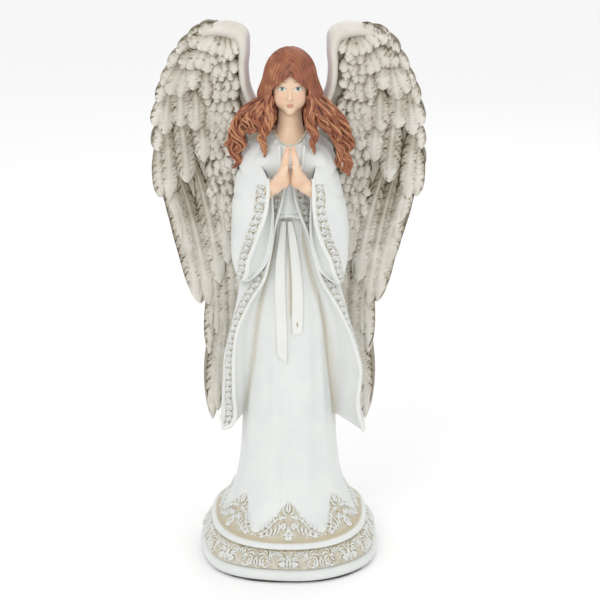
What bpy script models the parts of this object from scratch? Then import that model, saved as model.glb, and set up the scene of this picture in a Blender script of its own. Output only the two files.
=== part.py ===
"""Resin angel figurine, modelled as its separate castings.

The figure stands on z = 0 and faces -Y, and its left side is at +X.  Castings
that seat on each other are joined by bosses, spigots and tenons with a glue
line between them.
"""

import math

import bmesh
import bpy
from mathutils import Vector

MM = 0.001

# --- Fits -------------------------------------------------------------------
GLUE_LINE = 0.35 * MM  # clearance between two castings that are glued together
SOCKET_EXTRA = 0.6 * MM  # how much deeper a socket is than what seats in it

# --- Heights, stacked from the table up -------------------------------------
PAD_THICKNESS = 1.2 * MM
LIP_HEIGHT = 9.8 * MM
BORDER_HEIGHT = 12.0 * MM
SKIRT_HEIGHT = 178.0 * MM
BODICE_HEIGHT = 43.0 * MM
NECK_LENGTH = 13.5 * MM
HEAD_HEIGHT = 30.0 * MM

# --- Gown, as half-widths along X and depths along Y -------------------------
BASE_WIDTH = 103.0 * MM
BASE_DEPTH = 112.0 * MM
BORDER_INSET = 8.5 * MM
SWEEP = 0.09  # share of the skirt's height over which most of its flare is lost
SKIRT_WIDTH = 52.0 * MM  # across the narrow part, above the flare
SKIRT_DEPTH = 46.0 * MM
WAIST_WIDTH = 30.0 * MM
WAIST_DEPTH = 24.0 * MM
SHOULDER_WIDTH = 38.0 * MM
CHEST_DEPTH = 25.0 * MM
NECK_OPENING = 17.0 * MM

# --- Locating features --------------------------------------------------------
BOSS_RADIUS = 9.0 * MM
BOSS_LENGTH = 6.0 * MM
NECK_SPIGOT_RADIUS = 3.6 * MM
NECK_SPIGOT_LENGTH = 8.0 * MM
TENON_WIDTH = 5.0 * MM
TENON_HEIGHT = 22.0 * MM
TENON_LENGTH = 7.0 * MM
CAST_WELL_RADIUS = 20.0 * MM  # hollow left under the hem by the mould core
CAST_WELL_DEPTH = 14.0 * MM

# --- Over-robe ----------------------------------------------------------------
ROBE_THICKNESS = 3.0 * MM
ROBE_BITE = 1.0 * MM  # how far the robe is drawn into the gown before it is cut to fit
RIGHT_FLARE = 6.0 * MM  # how far each front edge of the robe is turned out
LEFT_FLARE = 13.0 * MM
ROBE_HEM_HEIGHT = 87.0 * MM
ROBE_TIP_DROP = 13.0 * MM

# --- Sleeves and hands --------------------------------------------------------
SLEEVE_WALL = 1.6 * MM
ARM_RADIUS = 8.2 * MM
SLEEVE_DROP = 57.0 * MM  # from the wrist to the hanging tip
MOUTH_WIDTH = 19.0 * MM
HAND_LENGTH = 21.0 * MM
HAND_WIDTH = 9.4 * MM
PALM_THICKNESS = 4.8 * MM
HAND_REACH = 29.0 * MM  # how far in front of the middle the palms meet
FOREARM_RADIUS = 3.8 * MM

# --- Sash -----------------------------------------------------------------------
SASH_WIDTH = 4.0 * MM
SASH_THICKNESS = 1.3 * MM
TAIL_WIDTH = 6.6 * MM
LEFT_TAIL_LENGTH = 64.0 * MM
RIGHT_TAIL_LENGTH = 81.0 * MM

# --- Head and hair ----------------------------------------------------------------
HEAD_WIDTH = 22.0 * MM
HEAD_DEPTH = 25.0 * MM
NECK_RADIUS = 5.6 * MM
HAIR_THICKNESS = 5.0 * MM
LOCK_LENGTH = 42.0 * MM
LOCK_WIDTH = 18.0 * MM

# --- Wings ------------------------------------------------------------------------
WING_HEIGHT = 234.0 * MM
WING_SPAN = 149.0 * MM
WING_TOP_ABOVE_SHOULDER = 57.0 * MM
WING_ROOT_THICKNESS = 9.0 * MM
WING_EDGE_THICKNESS = 3.6 * MM
WING_CUP = 7.0 * MM  # how deep the front of a wing is hollowed
FEATHER_STEP = 2.2 * MM  # how far one feather tip stands out past the next
FEATHER_ROWS = 10

AROUND = 40  # sides of the turned body shapes
ROBE_ROWS = [0.075 * i for i in range(8)] + [0.6 + 0.025 * i for i in range(15)] + [0.97, 0.985, 1]

Z_PAD = PAD_THICKNESS
Z_LIP = Z_PAD + LIP_HEIGHT
Z_HEM = Z_LIP + BORDER_HEIGHT
Z_WAIST = Z_HEM + SKIRT_HEIGHT
Z_SHOULDER = Z_WAIST + BODICE_HEIGHT
Z_CHIN = Z_SHOULDER + NECK_LENGTH
Z_CROWN = Z_CHIN + HEAD_HEIGHT

COLOURS = {
    "white_gown": ((0.86, 0.85, 0.81, 1.0), 0.42),
    "antiqued_relief": ((0.72, 0.66, 0.55, 1.0), 0.55),
    "antiqued_wing": ((0.77, 0.73, 0.66, 1.0), 0.55),
    "skin": ((0.83, 0.57, 0.41, 1.0), 0.42),
    "auburn_hair": ((0.30, 0.11, 0.055, 1.0), 0.5),
    "felt": ((0.10, 0.10, 0.09, 1.0), 0.95),
}


# ----------------------------------------------------------------------------------
# Small tools
# ----------------------------------------------------------------------------------


def clear_scene():
    for obj in list(bpy.data.objects):
        bpy.data.objects.remove(obj)


def material(name):
    made = bpy.data.materials.get(name)
    if made is None:
        made = bpy.data.materials.new(name)
        made.use_nodes = True
        shader = made.node_tree.nodes["Principled BSDF"]
        colour, roughness = COLOURS[name]
        shader.inputs["Base Color"].default_value = colour
        shader.inputs["Roughness"].default_value = roughness
        shader.inputs["Metallic"].default_value = 0.0
    return made


def profile(table, t):
    """Smooth curve through (position, value) pairs, flat beyond its ends."""
    if t <= table[0][0]:
        return table[0][1]
    for (t0, v0), (t1, v1) in zip(table, table[1:]):
        if t <= t1:
            share = (t - t0) / (t1 - t0)
            return v0 + (v1 - v0) * share * share * (3 - 2 * share)
    return table[-1][1]


def along(points, t):
    """Catmull-Rom curve through points, at t from 0 to 1."""
    spans = len(points) - 1
    i = min(int(t * spans), spans - 1)
    f = t * spans - i
    p1, p2 = points[i], points[i + 1]
    p0 = points[i - 1] if i else p1 * 2 - p2
    p3 = points[i + 2] if i + 2 <= spans else p2 * 2 - p1
    return 0.5 * (
        2 * p1
        + (p2 - p0) * f
        + (2 * p0 - 5 * p1 + 4 * p2 - p3) * f * f
        + (3 * p1 - p0 - 3 * p2 + p3) * f * f * f
    )


def angles(count=AROUND):
    return [2 * math.pi * i / count for i in range(count)]


def loft(name, rings, slot, location=(0, 0, 0)):
    """Closed solid through rings of equally many points, with a fan at each end."""
    mesh = bmesh.new()
    made = [[mesh.verts.new(p) for p in ring] for ring in rings]
    count = len(rings[0])
    for low, high in zip(made, made[1:]):
        for i in range(count):
            j = (i + 1) % count
            mesh.faces.new((low[i], low[j], high[j], high[i]))
    for ring in (made[0], made[-1]):
        middle = sum((v.co for v in ring), Vector()) / count
        centre = mesh.verts.new(middle)
        for i in range(count):
            mesh.faces.new((ring[i], ring[(i + 1) % count], centre))
    return add_mesh(name, mesh, slot, location)


def add_mesh(name, mesh, slot, location=(0, 0, 0)):
    bmesh.ops.recalc_face_normals(mesh, faces=mesh.faces)
    if mesh.calc_volume(signed=True) < 0:
        bmesh.ops.reverse_faces(mesh, faces=mesh.faces)
    data = bpy.data.meshes.new(name)
    mesh.to_mesh(data)
    mesh.free()
    data.materials.append(material(slot))
    data.shade_smooth()
    data.set_sharp_from_angle(angle=math.radians(50))
    obj = bpy.data.objects.new(name, data)
    obj.location = location
    bpy.context.scene.collection.objects.link(obj)
    return obj


def sheet_solid(name, front, back, slot):
    """Closed solid between two grids of points, rows by columns of equal size."""
    mesh = bmesh.new()
    sides = [[[mesh.verts.new(p) for p in row] for row in grid] for grid in (front, back)]
    rows, columns = len(front), len(front[0])
    for grid in sides:
        for r in range(rows - 1):
            for c in range(columns - 1):
                mesh.faces.new((grid[r][c], grid[r][c + 1], grid[r + 1][c + 1], grid[r + 1][c]))
    rim = [(0, c) for c in range(columns)] + [(r, columns - 1) for r in range(1, rows)]
    rim += [(rows - 1, c) for c in range(columns - 2, -1, -1)] + [(r, 0) for r in range(rows - 2, 0, -1)]
    for (r0, c0), (r1, c1) in zip(rim, rim[1:] + rim[:1]):
        mesh.faces.new((sides[0][r0][c0], sides[0][r1][c1], sides[1][r1][c1], sides[1][r0][c0]))
    return add_mesh(name, mesh, slot)


def as_cutter(obj):
    obj.hide_render = True
    obj.display_type = "WIRE"
    return obj


def grown_rings(rings, by):
    """The same rings a little larger all over, for a cutter that leaves a glue line."""
    middles = [sum(ring, Vector()) / len(ring) for ring in rings]
    made = []
    for ring, middle in zip(rings, middles):
        made.append([p + (p - middle).normalized() * by for p in ring])
    for end, next_in in ((0, 1), (-1, -2)):
        push = (middles[end] - middles[next_in]).normalized() * by
        made[end] = [p + push for p in made[end]]
    return made


def cutter(name, rings, by=GLUE_LINE):
    return as_cutter(loft(f"cutter_{name}", grown_rings(rings, by), "white_gown"))


def boolean(obj, other, operation="DIFFERENCE", solver="EXACT"):
    modifier = obj.modifiers.new(f"{operation.lower()}_{other.name}", "BOOLEAN")
    modifier.operation = operation
    modifier.solver = solver
    modifier.object = other


def fit_round(obj, others):
    """Cuts a draped piece to what it lies on; EXACT loses some of these thin walls."""
    for other in others:
        boolean(obj, other, solver="MANIFOLD")


def box(name, low, high, slot="white_gown"):
    mesh = bmesh.new()
    bmesh.ops.create_cube(mesh, size=1.0)
    size = high - low
    bmesh.ops.scale(mesh, vec=size, verts=mesh.verts)
    bmesh.ops.translate(mesh, vec=(low + high) / 2, verts=mesh.verts)
    return add_mesh(name, mesh, slot)


# ----------------------------------------------------------------------------------
# The gown's outline: half-width, depth and squareness at each height
# ----------------------------------------------------------------------------------


def skirt_share(z):
    return (z - Z_HEM) / SKIRT_HEIGHT


def skirt_profile(hem, narrow, waist, share):
    """Waist to hem: nearly straight, then swept out quickly over the lowest part."""
    drawn_in = narrow - 0.18 * (narrow - waist)
    column = profile([(0, narrow), (0.36, narrow), (0.6, drawn_in), (1, waist)], share)
    return column + (hem - narrow) * math.exp(-share / SWEEP)


def half_width(z):
    if z <= Z_LIP:
        return BASE_WIDTH / 2
    if z <= Z_HEM:
        return BASE_WIDTH / 2 - BORDER_INSET * (z - Z_LIP) / BORDER_HEIGHT
    top = BASE_WIDTH / 2 - BORDER_INSET
    if z <= Z_WAIST:
        return skirt_profile(top, SKIRT_WIDTH / 2, WAIST_WIDTH / 2, skirt_share(z))
    chest = SHOULDER_WIDTH / 2
    table = [(0, WAIST_WIDTH / 2), (0.45, 0.92 * chest), (0.86, chest), (1, NECK_OPENING / 2)]
    return profile(table, (z - Z_WAIST) / BODICE_HEIGHT)


def half_depth(z):
    if z <= Z_LIP:
        return BASE_DEPTH / 2
    if z <= Z_HEM:
        return BASE_DEPTH / 2 - BORDER_INSET * (z - Z_LIP) / BORDER_HEIGHT
    top = BASE_DEPTH / 2 - BORDER_INSET
    if z <= Z_WAIST:
        return skirt_profile(top, SKIRT_DEPTH / 2, WAIST_DEPTH / 2, skirt_share(z))
    chest = CHEST_DEPTH / 2
    table = [(0, WAIST_DEPTH / 2), (0.5, chest), (0.8, 0.85 * chest), (1, 0.8 * NECK_OPENING / 2)]
    return profile(table, (z - Z_WAIST) / BODICE_HEIGHT)


def squareness(z):
    return profile([(Z_LIP, 2.5), (Z_HEM + 0.2 * SKIRT_HEIGHT, 2.0)], z)


def gown_point(angle, z, grow=0.0):
    """Point on the gown's surface at this angle from +X and this height."""
    a, b, n = half_width(z) + grow, half_depth(z) + grow, squareness(z)
    c, s = math.cos(angle), math.sin(angle)
    r = (abs(c / a) ** n + abs(s / b) ** n) ** (-1 / n)
    return Vector((r * c, r * s, z))


def gown_ring(z, grow=0.0):
    return [gown_point(a, z, grow) for a in angles()]


def round_ring(radius, z):
    return [Vector((radius * math.cos(a), radius * math.sin(a), z)) for a in angles()]


# ----------------------------------------------------------------------------------
# Castings of the gown
# ----------------------------------------------------------------------------------


def felt_pad():
    inset = 1.5 * MM
    rings = [gown_ring(0.0, -inset), gown_ring(PAD_THICKNESS, -inset)]
    for ring, z in zip(rings, (0.0, PAD_THICKNESS)):
        for point in ring:
            point.z = z
    return loft("felt_pad", rings, "felt")


def base_hem():
    """Foot of the gown: rounded lip, sloping ornamented border, cast hollow below."""
    floor = Z_PAD + GLUE_LINE
    bulge = 1.2 * MM
    rings = [
        round_ring(CAST_WELL_RADIUS, floor + CAST_WELL_DEPTH),
        round_ring(CAST_WELL_RADIUS, floor),
        gown_ring(floor, -2 * bulge),
        gown_ring(floor + 0.4 * LIP_HEIGHT, 0),
        gown_ring(Z_LIP - 0.15 * LIP_HEIGHT, -0.2 * bulge),
        gown_ring(Z_LIP, -bulge),
        gown_ring(Z_LIP + 0.02 * BORDER_HEIGHT, -2.2 * bulge),
        gown_ring(Z_HEM - 0.3 * BORDER_HEIGHT, -1.6 * bulge),
        gown_ring(Z_HEM, 0),
        round_ring(BOSS_RADIUS + GLUE_LINE, Z_HEM),
        round_ring(BOSS_RADIUS + GLUE_LINE, Z_HEM - BOSS_LENGTH - SOCKET_EXTRA),
    ]
    for ring, z in ((rings[2], floor), (rings[3], floor + 0.4 * LIP_HEIGHT)):
        for point in ring:
            point.z = z
    return loft("base_hem", rings, "antiqued_relief")


def rings_between(low, high, shares):
    return [gown_ring(low + (high - low) * t) for t in shares]


def skirt_rings():
    shares = (0, 0.03, 0.07, 0.12, 0.18, 0.26, 0.36, 0.48, 0.6, 0.72, 0.86, 1)
    return rings_between(Z_HEM + GLUE_LINE, Z_WAIST, shares)


def bodice_rings():
    shares = (0, 0.15, 0.3, 0.45, 0.6, 0.75, 0.86, 0.94, 1)
    return rings_between(Z_WAIST + GLUE_LINE, Z_SHOULDER, shares)


def seated(name, rings, top_radius, top_depth):
    """Casting with a boss below its first ring and a socket down into its last."""
    floor, top = rings[0][0].z, rings[-1][0].z
    boss = [round_ring(BOSS_RADIUS, floor - BOSS_LENGTH), round_ring(BOSS_RADIUS, floor)]
    radius = top_radius + GLUE_LINE
    socket = [round_ring(radius, top), round_ring(radius, top - top_depth - SOCKET_EXTRA)]
    return loft(name, boss + rings + socket, "white_gown")


# ----------------------------------------------------------------------------------
# Over-robe: a shell round the back and sides, open down the front
# ----------------------------------------------------------------------------------


def robe_opening(z):
    """Angle between the front centre line and each front edge of the robe."""
    share = (z - ROBE_HEM_HEIGHT) / (Z_SHOULDER - ROBE_HEM_HEIGHT)
    table = [(0, 72), (0.25, 66), (0.42, 56), (0.58, 46), (0.74, 42), (0.85, 32), (1, 30)]
    return math.radians(profile(table, share))


def robe_wall(turn, z, flare):
    """Wall thickness; turn is 0 at a front edge and 1 at the middle of the back."""
    table = [(ROBE_HEM_HEIGHT, 1.0), (Z_WAIST - 0.3 * SKIRT_HEIGHT, 0.3), (Z_WAIST, 0.0)]
    return ROBE_THICKNESS + flare * profile(table, z) * max(0.0, 1 - turn * 2.2) ** 1.5


def robe_shell(name, grow=0.0, bite=ROBE_BITE):
    """Shell from the gown outwards; grown, it cuts what lies on the robe."""
    columns, front = 33, -math.pi / 2
    clear = 1.6 * GLUE_LINE + grow
    inner, outer = [], []
    for share in ROBE_ROWS:
        inner_row, outer_row = [], []
        for c in range(columns):
            across = c / (columns - 1)
            turn = 1 - abs(2 * across - 1)
            flare = LEFT_FLARE if across < 0.5 else RIGHT_FLARE
            low = ROBE_HEM_HEIGHT - ROBE_TIP_DROP * math.exp(-(((turn - 0.2) / 0.16) ** 2))
            z = low + (Z_SHOULDER - 0.5 * MM - low) * share
            opening = robe_opening(z) - grow / half_width(z)
            angle = front + opening + (2 * math.pi - 2 * opening) * across
            level = z + grow * (2 * share - 1)
            for row, out in ((inner_row, -bite), (outer_row, clear + robe_wall(turn, z, flare))):
                point = gown_point(angle, z, out)
                point.z = level
                row.append(point)
        inner.append(inner_row)
        outer.append(outer_row)
    return sheet_solid(name, inner, outer, "white_gown")


# ----------------------------------------------------------------------------------
# Sleeves, hands and sash
# ----------------------------------------------------------------------------------


def mirrored(point, side):
    return Vector((point.x * side, point.y, point.z))


def sleeve_sections():
    """(centre, half-width, half-height, heading) from the elbow to the mouth, for +X."""
    shoulder = SHOULDER_WIDTH / 2
    wrist = Z_WAIST + 0.48 * BODICE_HEIGHT
    middle = wrist - SLEEVE_DROP / 2
    r, mouth = ARM_RADIUS, MOUTH_WIDTH / 2
    elbow, forearm = wrist - 0.22 * SLEEVE_DROP, wrist - 0.36 * SLEEVE_DROP
    return [
        (Vector((shoulder + 4 * MM, 5 * MM, elbow)), 0.8 * r, 0.22 * SLEEVE_DROP, -95),
        (Vector((shoulder + 4.5 * MM, -3 * MM, forearm)), r, 0.38 * SLEEVE_DROP, -105),
        (Vector((shoulder + 2.5 * MM, -10 * MM, middle)), 0.95 * mouth, 0.47 * SLEEVE_DROP, -112),
        (Vector((shoulder - 1 * MM, -19 * MM, middle)), mouth, 0.5 * SLEEVE_DROP, -120),
    ]


def upper_arm_rings(side):
    """Level rings from the top of the shoulder to the elbow."""
    x, top, r = SHOULDER_WIDTH / 2, Z_SHOULDER, ARM_RADIUS
    drop = top - sleeve_sections()[0][0].z
    levels = ((-3, 0.06, 0.45), (0, 0.14, 0.75), (2.5, 0.35, 0.95), (4, 0.65, 1.0), (4.5, 1.0, 0.98))
    rings = []
    for out, down, size in levels:
        middle = Vector((x + out * MM, 0, top - down * drop))
        ring = [middle + Vector((math.cos(a), math.sin(a), 0)) * r * size for a in angles(20)]
        rings.append([mirrored(p, side) for p in ring])
    return rings


def section_ring(centre, wide, tall, heading, lean, count=24):
    """Leaf-shaped upright ring facing its heading, wider and further out at the bottom."""
    turned = math.radians(heading + 90)
    across = Vector((math.cos(turned), math.sin(turned), 0))
    ring = []
    for a in angles(count):
        up = math.sin(a)
        spread = math.cos(a) * wide * (1 - 0.3 * up)
        ring.append(centre + across * spread + Vector((-lean * up, 0, tall * up)))
    return ring


def sleeve_rings(side):
    """Rings of a sleeve's outside and, coming back from the mouth, of its hollow."""
    sections, lean = sleeve_sections(), 4.5 * MM
    outside, hollow = [], []
    for i, (centre, wide, tall, heading) in enumerate(sections):
        share = lean * i / (len(sections) - 1)
        outside.append(section_ring(centre, wide, tall, heading, share))
        inside = section_ring(centre, wide - SLEEVE_WALL, tall - SLEEVE_WALL, heading, share)
        if i > 0:
            hollow.insert(0, inside)
    return [[[mirrored(p, side) for p in ring] for ring in rings] for rings in (outside, hollow)]


def sleeve(side):
    outside, hollow = sleeve_rings(side)
    made = loft(f"sleeve_{side_name(side)}", outside + hollow, "white_gown")
    arm = loft(f"cutter_upper_arm_{side_name(side)}", upper_arm_rings(side), "white_gown")
    boolean(made, as_cutter(arm), "UNION", "MANIFOLD")
    return made


def side_name(side):
    return "left" if side > 0 else "right"


def hand_rings(side):
    """Forearm peg, wrist and hand; the palm is flat against the centre plane."""
    wrist = Z_WAIST + 0.35 * BODICE_HEIGHT
    elbow = sleeve_sections()[3][0]
    start = Vector((elbow.x - 1 * MM, elbow.y + 1 * MM, wrist - 8 * MM))
    palm, deep = PALM_THICKNESS, HAND_WIDTH / 2
    front = -HAND_REACH
    stations = [
        (start, FOREARM_RADIUS, FOREARM_RADIUS),
        (Vector((0.6 * elbow.x, 0.5 * front, wrist - 3 * MM)), FOREARM_RADIUS, FOREARM_RADIUS),
        (Vector((0.32 * elbow.x, 0.82 * front, wrist + 1 * MM)), 0.92 * FOREARM_RADIUS, FOREARM_RADIUS),
        (Vector((0.75 * palm, front, wrist + 0.25 * HAND_LENGTH)), 0.75 * palm, deep),
        (Vector((0.5 * palm, front, wrist + 0.55 * HAND_LENGTH)), 0.55 * palm, 0.96 * deep),
        (Vector((0.35 * palm, front, wrist + HAND_LENGTH)), 0.4 * palm, 0.7 * deep),
        (Vector((0.25 * palm, front, wrist + 1.15 * HAND_LENGTH)), 0.2 * palm, 0.25 * deep),
    ]
    centres = [station[0] for station in stations]
    rings = []
    for i, (centre, wide, broad) in enumerate(stations):
        ahead = centres[min(i + 1, len(centres) - 1)] - centres[max(i - 1, 0)]
        across = (Vector((1, 0, 0)) - ahead * ahead.x / ahead.length_squared).normalized()
        up = ahead.normalized().cross(across)
        ring = [centre + across * math.cos(a) * wide + up * math.sin(a) * broad for a in angles(16)]
        for point in ring:
            point.x = max(point.x, GLUE_LINE / 2)
        rings.append([mirrored(p, side) for p in ring])
    return rings


def hand(side):
    return loft(f"hand_{side_name(side)}", hand_rings(side), "skin")


def sash():
    """Belt round the waist between the robe's front edges and its knot."""
    rows, columns = 3, 9
    span = robe_opening(Z_WAIST) - math.radians(4)
    inner, outer = [], []
    for r in range(rows):
        z = Z_WAIST + SASH_WIDTH * (r / (rows - 1) - 0.5)
        turns = [-math.pi / 2 + span * (2 * c / (columns - 1) - 1) for c in range(columns)]
        clear = 2 * GLUE_LINE
        inner.append([gown_point(a, z, clear) for a in turns])
        outer.append([gown_point(a, z, clear + SASH_THICKNESS) for a in turns])
    return sheet_solid("sash", inner, outer, "white_gown")


def sash_tail(side, length):
    """Hanging end of the sash, lying on the front of the skirt."""
    rows, columns = 12, 3
    top = Z_WAIST - SASH_WIDTH / 2 - GLUE_LINE
    inner, outer = [], []
    for r in range(rows):
        share = r / (rows - 1)
        z = top - length * share
        middle = side * (0.55 * TAIL_WIDTH + 0.4 * MM * (1 + math.sin(5 * share)))
        inner_row, outer_row = [], []
        for c in range(columns):
            x = middle + TAIL_WIDTH * (c / (columns - 1) - 0.5)
            angle = -math.pi / 2 + math.asin(max(-1, min(1, x / half_width(z))))
            base = gown_point(angle, z)
            out = Vector((0, -1, 0))
            inner_row.append(Vector((x, base.y, z)) + out * 2 * GLUE_LINE)
            outer_row.append(Vector((x, base.y, z)) + out * (2 * GLUE_LINE + SASH_THICKNESS))
        inner.append(inner_row)
        outer.append(outer_row)
    return sheet_solid(f"sash_tail_{side_name(side)}", inner, outer, "white_gown")


# ----------------------------------------------------------------------------------
# Head and hair
# ----------------------------------------------------------------------------------


def head_ring(z, grow=0.0, count=28):
    """Ring of the head at this height, from chin to crown."""
    t = (z - Z_CHIN) / HEAD_HEIGHT
    wide = profile([(0, 0.2), (0.12, 0.62), (0.35, 0.9), (0.6, 1.0), (0.82, 0.82), (0.95, 0.45), (1, 0.1)], t)
    deep = profile([(0, 0.3), (0.12, 0.62), (0.35, 0.88), (0.6, 1.0), (0.82, 0.84), (0.95, 0.48), (1, 0.1)], t)
    back = profile([(0, -0.16), (0.3, 0.0), (1, 0.05)], t) * HEAD_DEPTH
    a, b = HEAD_WIDTH / 2 * wide + grow, HEAD_DEPTH / 2 * deep + grow
    return [Vector((a * math.cos(p), back + b * math.sin(p), z)) for p in angles(count)]


def neck_ring(radius, deep, z, y=0.0, count=28):
    return [Vector((radius * math.cos(p), y + deep * math.sin(p), z)) for p in angles(count)]


def head_rings():
    """Spigot that seats in the bodice, bare upper chest, neck and head."""
    seat = Z_SHOULDER + GLUE_LINE
    rings = [
        neck_ring(NECK_SPIGOT_RADIUS, NECK_SPIGOT_RADIUS, seat - NECK_SPIGOT_LENGTH),
        neck_ring(NECK_SPIGOT_RADIUS, NECK_SPIGOT_RADIUS, seat),
        neck_ring(0.46 * NECK_OPENING, 0.36 * NECK_OPENING, seat),
        neck_ring(1.15 * NECK_RADIUS, NECK_RADIUS, seat + 0.2 * NECK_LENGTH),
        neck_ring(NECK_RADIUS, 0.92 * NECK_RADIUS, seat + 0.5 * NECK_LENGTH),
        neck_ring(NECK_RADIUS, 0.95 * NECK_RADIUS, Z_CHIN - 0.1 * NECK_LENGTH),
    ]
    rings += [head_ring(Z_CHIN + HEAD_HEIGHT * t) for t in (0.04, 0.12, 0.24, 0.38, 0.52, 0.66, 0.8, 0.9, 0.97)]
    return rings


def hair_cap_rings():
    """Hair over the crown and the back of the head."""
    low = Z_CHIN - 0.15 * HEAD_HEIGHT
    rings = []
    for t in (0, 0.12, 0.3, 0.5, 0.68, 0.82, 0.93, 1.0):
        z = low + (Z_CROWN + HAIR_THICKNESS - low) * t
        swell = profile([(0, 0.72), (0.3, 1.0), (0.55, 1.02), (0.82, 0.72), (0.93, 0.42), (1, 0.08)], t)
        a = (HEAD_WIDTH / 2 + HAIR_THICKNESS) * swell
        b = (HEAD_DEPTH / 2 + 0.75 * HAIR_THICKNESS) * swell
        rings.append([Vector((a * math.cos(p), 2.2 * MM + b * math.sin(p), z)) for p in angles(28)])
    return rings


def face_opening():
    """Cutter for the front of the hair: an arch from the neck up to the parting."""
    half = 0.42 * HEAD_WIDTH
    low, high = Z_CHIN - 0.5 * HEAD_HEIGHT, Z_CHIN + 0.72 * HEAD_HEIGHT
    arch = [Vector((half, 0, low)), Vector((half, 0, high - 0.6 * HEAD_HEIGHT))]
    rise = 0.6 * HEAD_HEIGHT
    for i in range(1, 10):
        a = math.pi * i / 10
        arch.append(Vector((half * math.cos(a), 0, high - rise + rise * math.sin(a))))
    arch += [Vector((-half, 0, high - rise)), Vector((-half, 0, low))]
    rings = [[p + Vector((0, y, 0)) for p in arch] for y in (-HEAD_DEPTH, 0.03 * HEAD_DEPTH)]
    return as_cutter(loft("cutter_face", rings, "skin"))


def hair_lock(side):
    """Side mass of hair, from the temple over the shoulder to its pointed end."""
    top = Z_CHIN + 0.42 * HEAD_HEIGHT
    shoulder = SHOULDER_WIDTH / 2
    path = [
        Vector((HEAD_WIDTH / 2 + 0.3 * HAIR_THICKNESS, 0, top)),
        Vector((shoulder - 4 * MM, 0, top - 0.25 * LOCK_LENGTH)),
        Vector((shoulder + 2 * MM, -3 * MM, top - 0.5 * LOCK_LENGTH)),
        Vector((shoulder + 7 * MM, -5 * MM, top - 0.75 * LOCK_LENGTH)),
        Vector((shoulder + 12 * MM, -6 * MM, top - LOCK_LENGTH)),
    ]
    rings, steps = [], 16
    for i in range(steps):
        t = i / (steps - 1)
        width = LOCK_WIDTH / 2 * profile([(0, 0.5), (0.35, 1), (0.6, 0.85), (1, 0.12)], t)
        centre = along(path, t) + Vector((1.2 * MM * math.sin(11 * t), 0, 0))
        ring = []
        for a in angles(16):
            ripple = 1 + 0.08 * math.cos(4 * a + 8 * t)
            across, deep = ripple * width * math.cos(a), 0.7 * ripple * width * math.sin(a)
            ring.append(mirrored(centre + Vector((across, deep, 0.35 * across)), side))
        rings.append(ring)
    return loft(f"hair_lock_{side_name(side)}", rings, "auburn_hair")


# ----------------------------------------------------------------------------------
# Wings
# ----------------------------------------------------------------------------------

# Inner and outer edges of a wing from its top to its tip, as shares of half the span
# outwards and of the wing's height down from its top.
WING_INNER_EDGE = [
    (0.27, 0.02),
    (0.32, 0.075),
    (0.32, 0.13),
    (0.25, 0.175),
    (0.12, 0.25),
    (0.09, 0.36),
    (0.12, 0.5),
    (0.22, 0.66),
    (0.34, 0.82),
    (0.5, 0.97),
]
WING_OUTER_EDGE = [
    (0.40, 0.0),
    (0.66, 0.025),
    (0.84, 0.07),
    (0.95, 0.15),
    (0.98, 0.24),
    (0.95, 0.36),
    (0.88, 0.47),
    (0.7, 0.62),
    (0.54, 0.8),
    (0.58, 1.0),
]


def wing_edge(table, v):
    points = [Vector((x * WING_SPAN / 2, 0, -z * WING_HEIGHT)) for x, z in table]
    top = Z_SHOULDER + WING_TOP_ABOVE_SHOULDER
    return along(points, v) + Vector((0, 0, top))


def back_of_robe(z):
    return half_depth(z) + ROBE_THICKNESS + 2 * GLUE_LINE


def wing_point(u, v):
    """Middle surface of a wing: u from the inner to the outer edge, v from top to tip."""
    inner, outer = wing_edge(WING_INNER_EDGE, v), wing_edge(WING_OUTER_EDGE, v)
    outer.x += FEATHER_STEP * (v * FEATHER_ROWS % 1.0) * profile([(0, 0), (0.15, 1)], v)
    point = inner.lerp(outer, u)
    chest = Z_WAIST + 0.6 * BODICE_HEIGHT
    clear = back_of_robe(min(point.z, chest)) + WING_ROOT_THICKNESS / 2 + 0.5 * MM
    near = profile([(0, 0.9), (0.25, 1.0), (0.6, 1.0), (1, 0.9)], v) * clear
    far = profile([(0, 0.8), (0.3, 0.9), (0.6, 0.95), (1, 0.9)], v) * clear
    cup = WING_CUP * math.sin(math.pi * u) * profile([(0, 0.3), (0.3, 1), (1, 0.2)], v)
    point.y = near + (far - near) * u + cup
    return point


def wing_thickness(u, v):
    along_edge = profile([(0, 1.0), (0.4, 0.85), (1, 0.45)], v)
    root, edge = WING_ROOT_THICKNESS * along_edge, WING_EDGE_THICKNESS * (0.6 + 0.4 * along_edge)
    shingle = 0.25 * FEATHER_STEP * ((v * 2 * FEATHER_ROWS + 3 * u) % 1.0)
    return root + (edge - root) * min(1, 1.6 * u) + shingle


def wing(side):
    rows, columns = 41, 10
    front, back = [], []
    for r in range(rows):
        v = r / (rows - 1)
        front_row, back_row = [], []
        for c in range(columns):
            u = c / (columns - 1)
            middle, half = wing_point(u, v), wing_thickness(u, v) / 2
            front_row.append(mirrored(middle - Vector((0, half, 0)), side))
            back_row.append(mirrored(middle + Vector((0, half, 0)), side))
        front.append(front_row)
        back.append(back_row)
    return sheet_solid(f"wing_{side_name(side)}", front, back, "antiqued_wing")


def tenon(side, grow=0.0):
    """Tongue on the root of a wing that seats in the back of the robe and bodice."""
    z = Z_WAIST + 0.45 * BODICE_HEIGHT
    x = side * (0.1 * WING_SPAN / 2 + 0.6 * TENON_WIDTH)
    back = back_of_robe(z)
    reach = Vector((TENON_WIDTH / 2 + grow, 0, TENON_HEIGHT / 2 + grow))
    low = Vector((x, back - TENON_LENGTH - grow, z)) - reach
    high = Vector((x, back + 0.6 * WING_ROOT_THICKNESS, z)) + reach
    name = "tongue" if grow == 0 else "socket"
    return as_cutter(box(f"cutter_{name}_{side_name(side)}", low, high))


# ----------------------------------------------------------------------------------
# Assembly
# ----------------------------------------------------------------------------------


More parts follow.
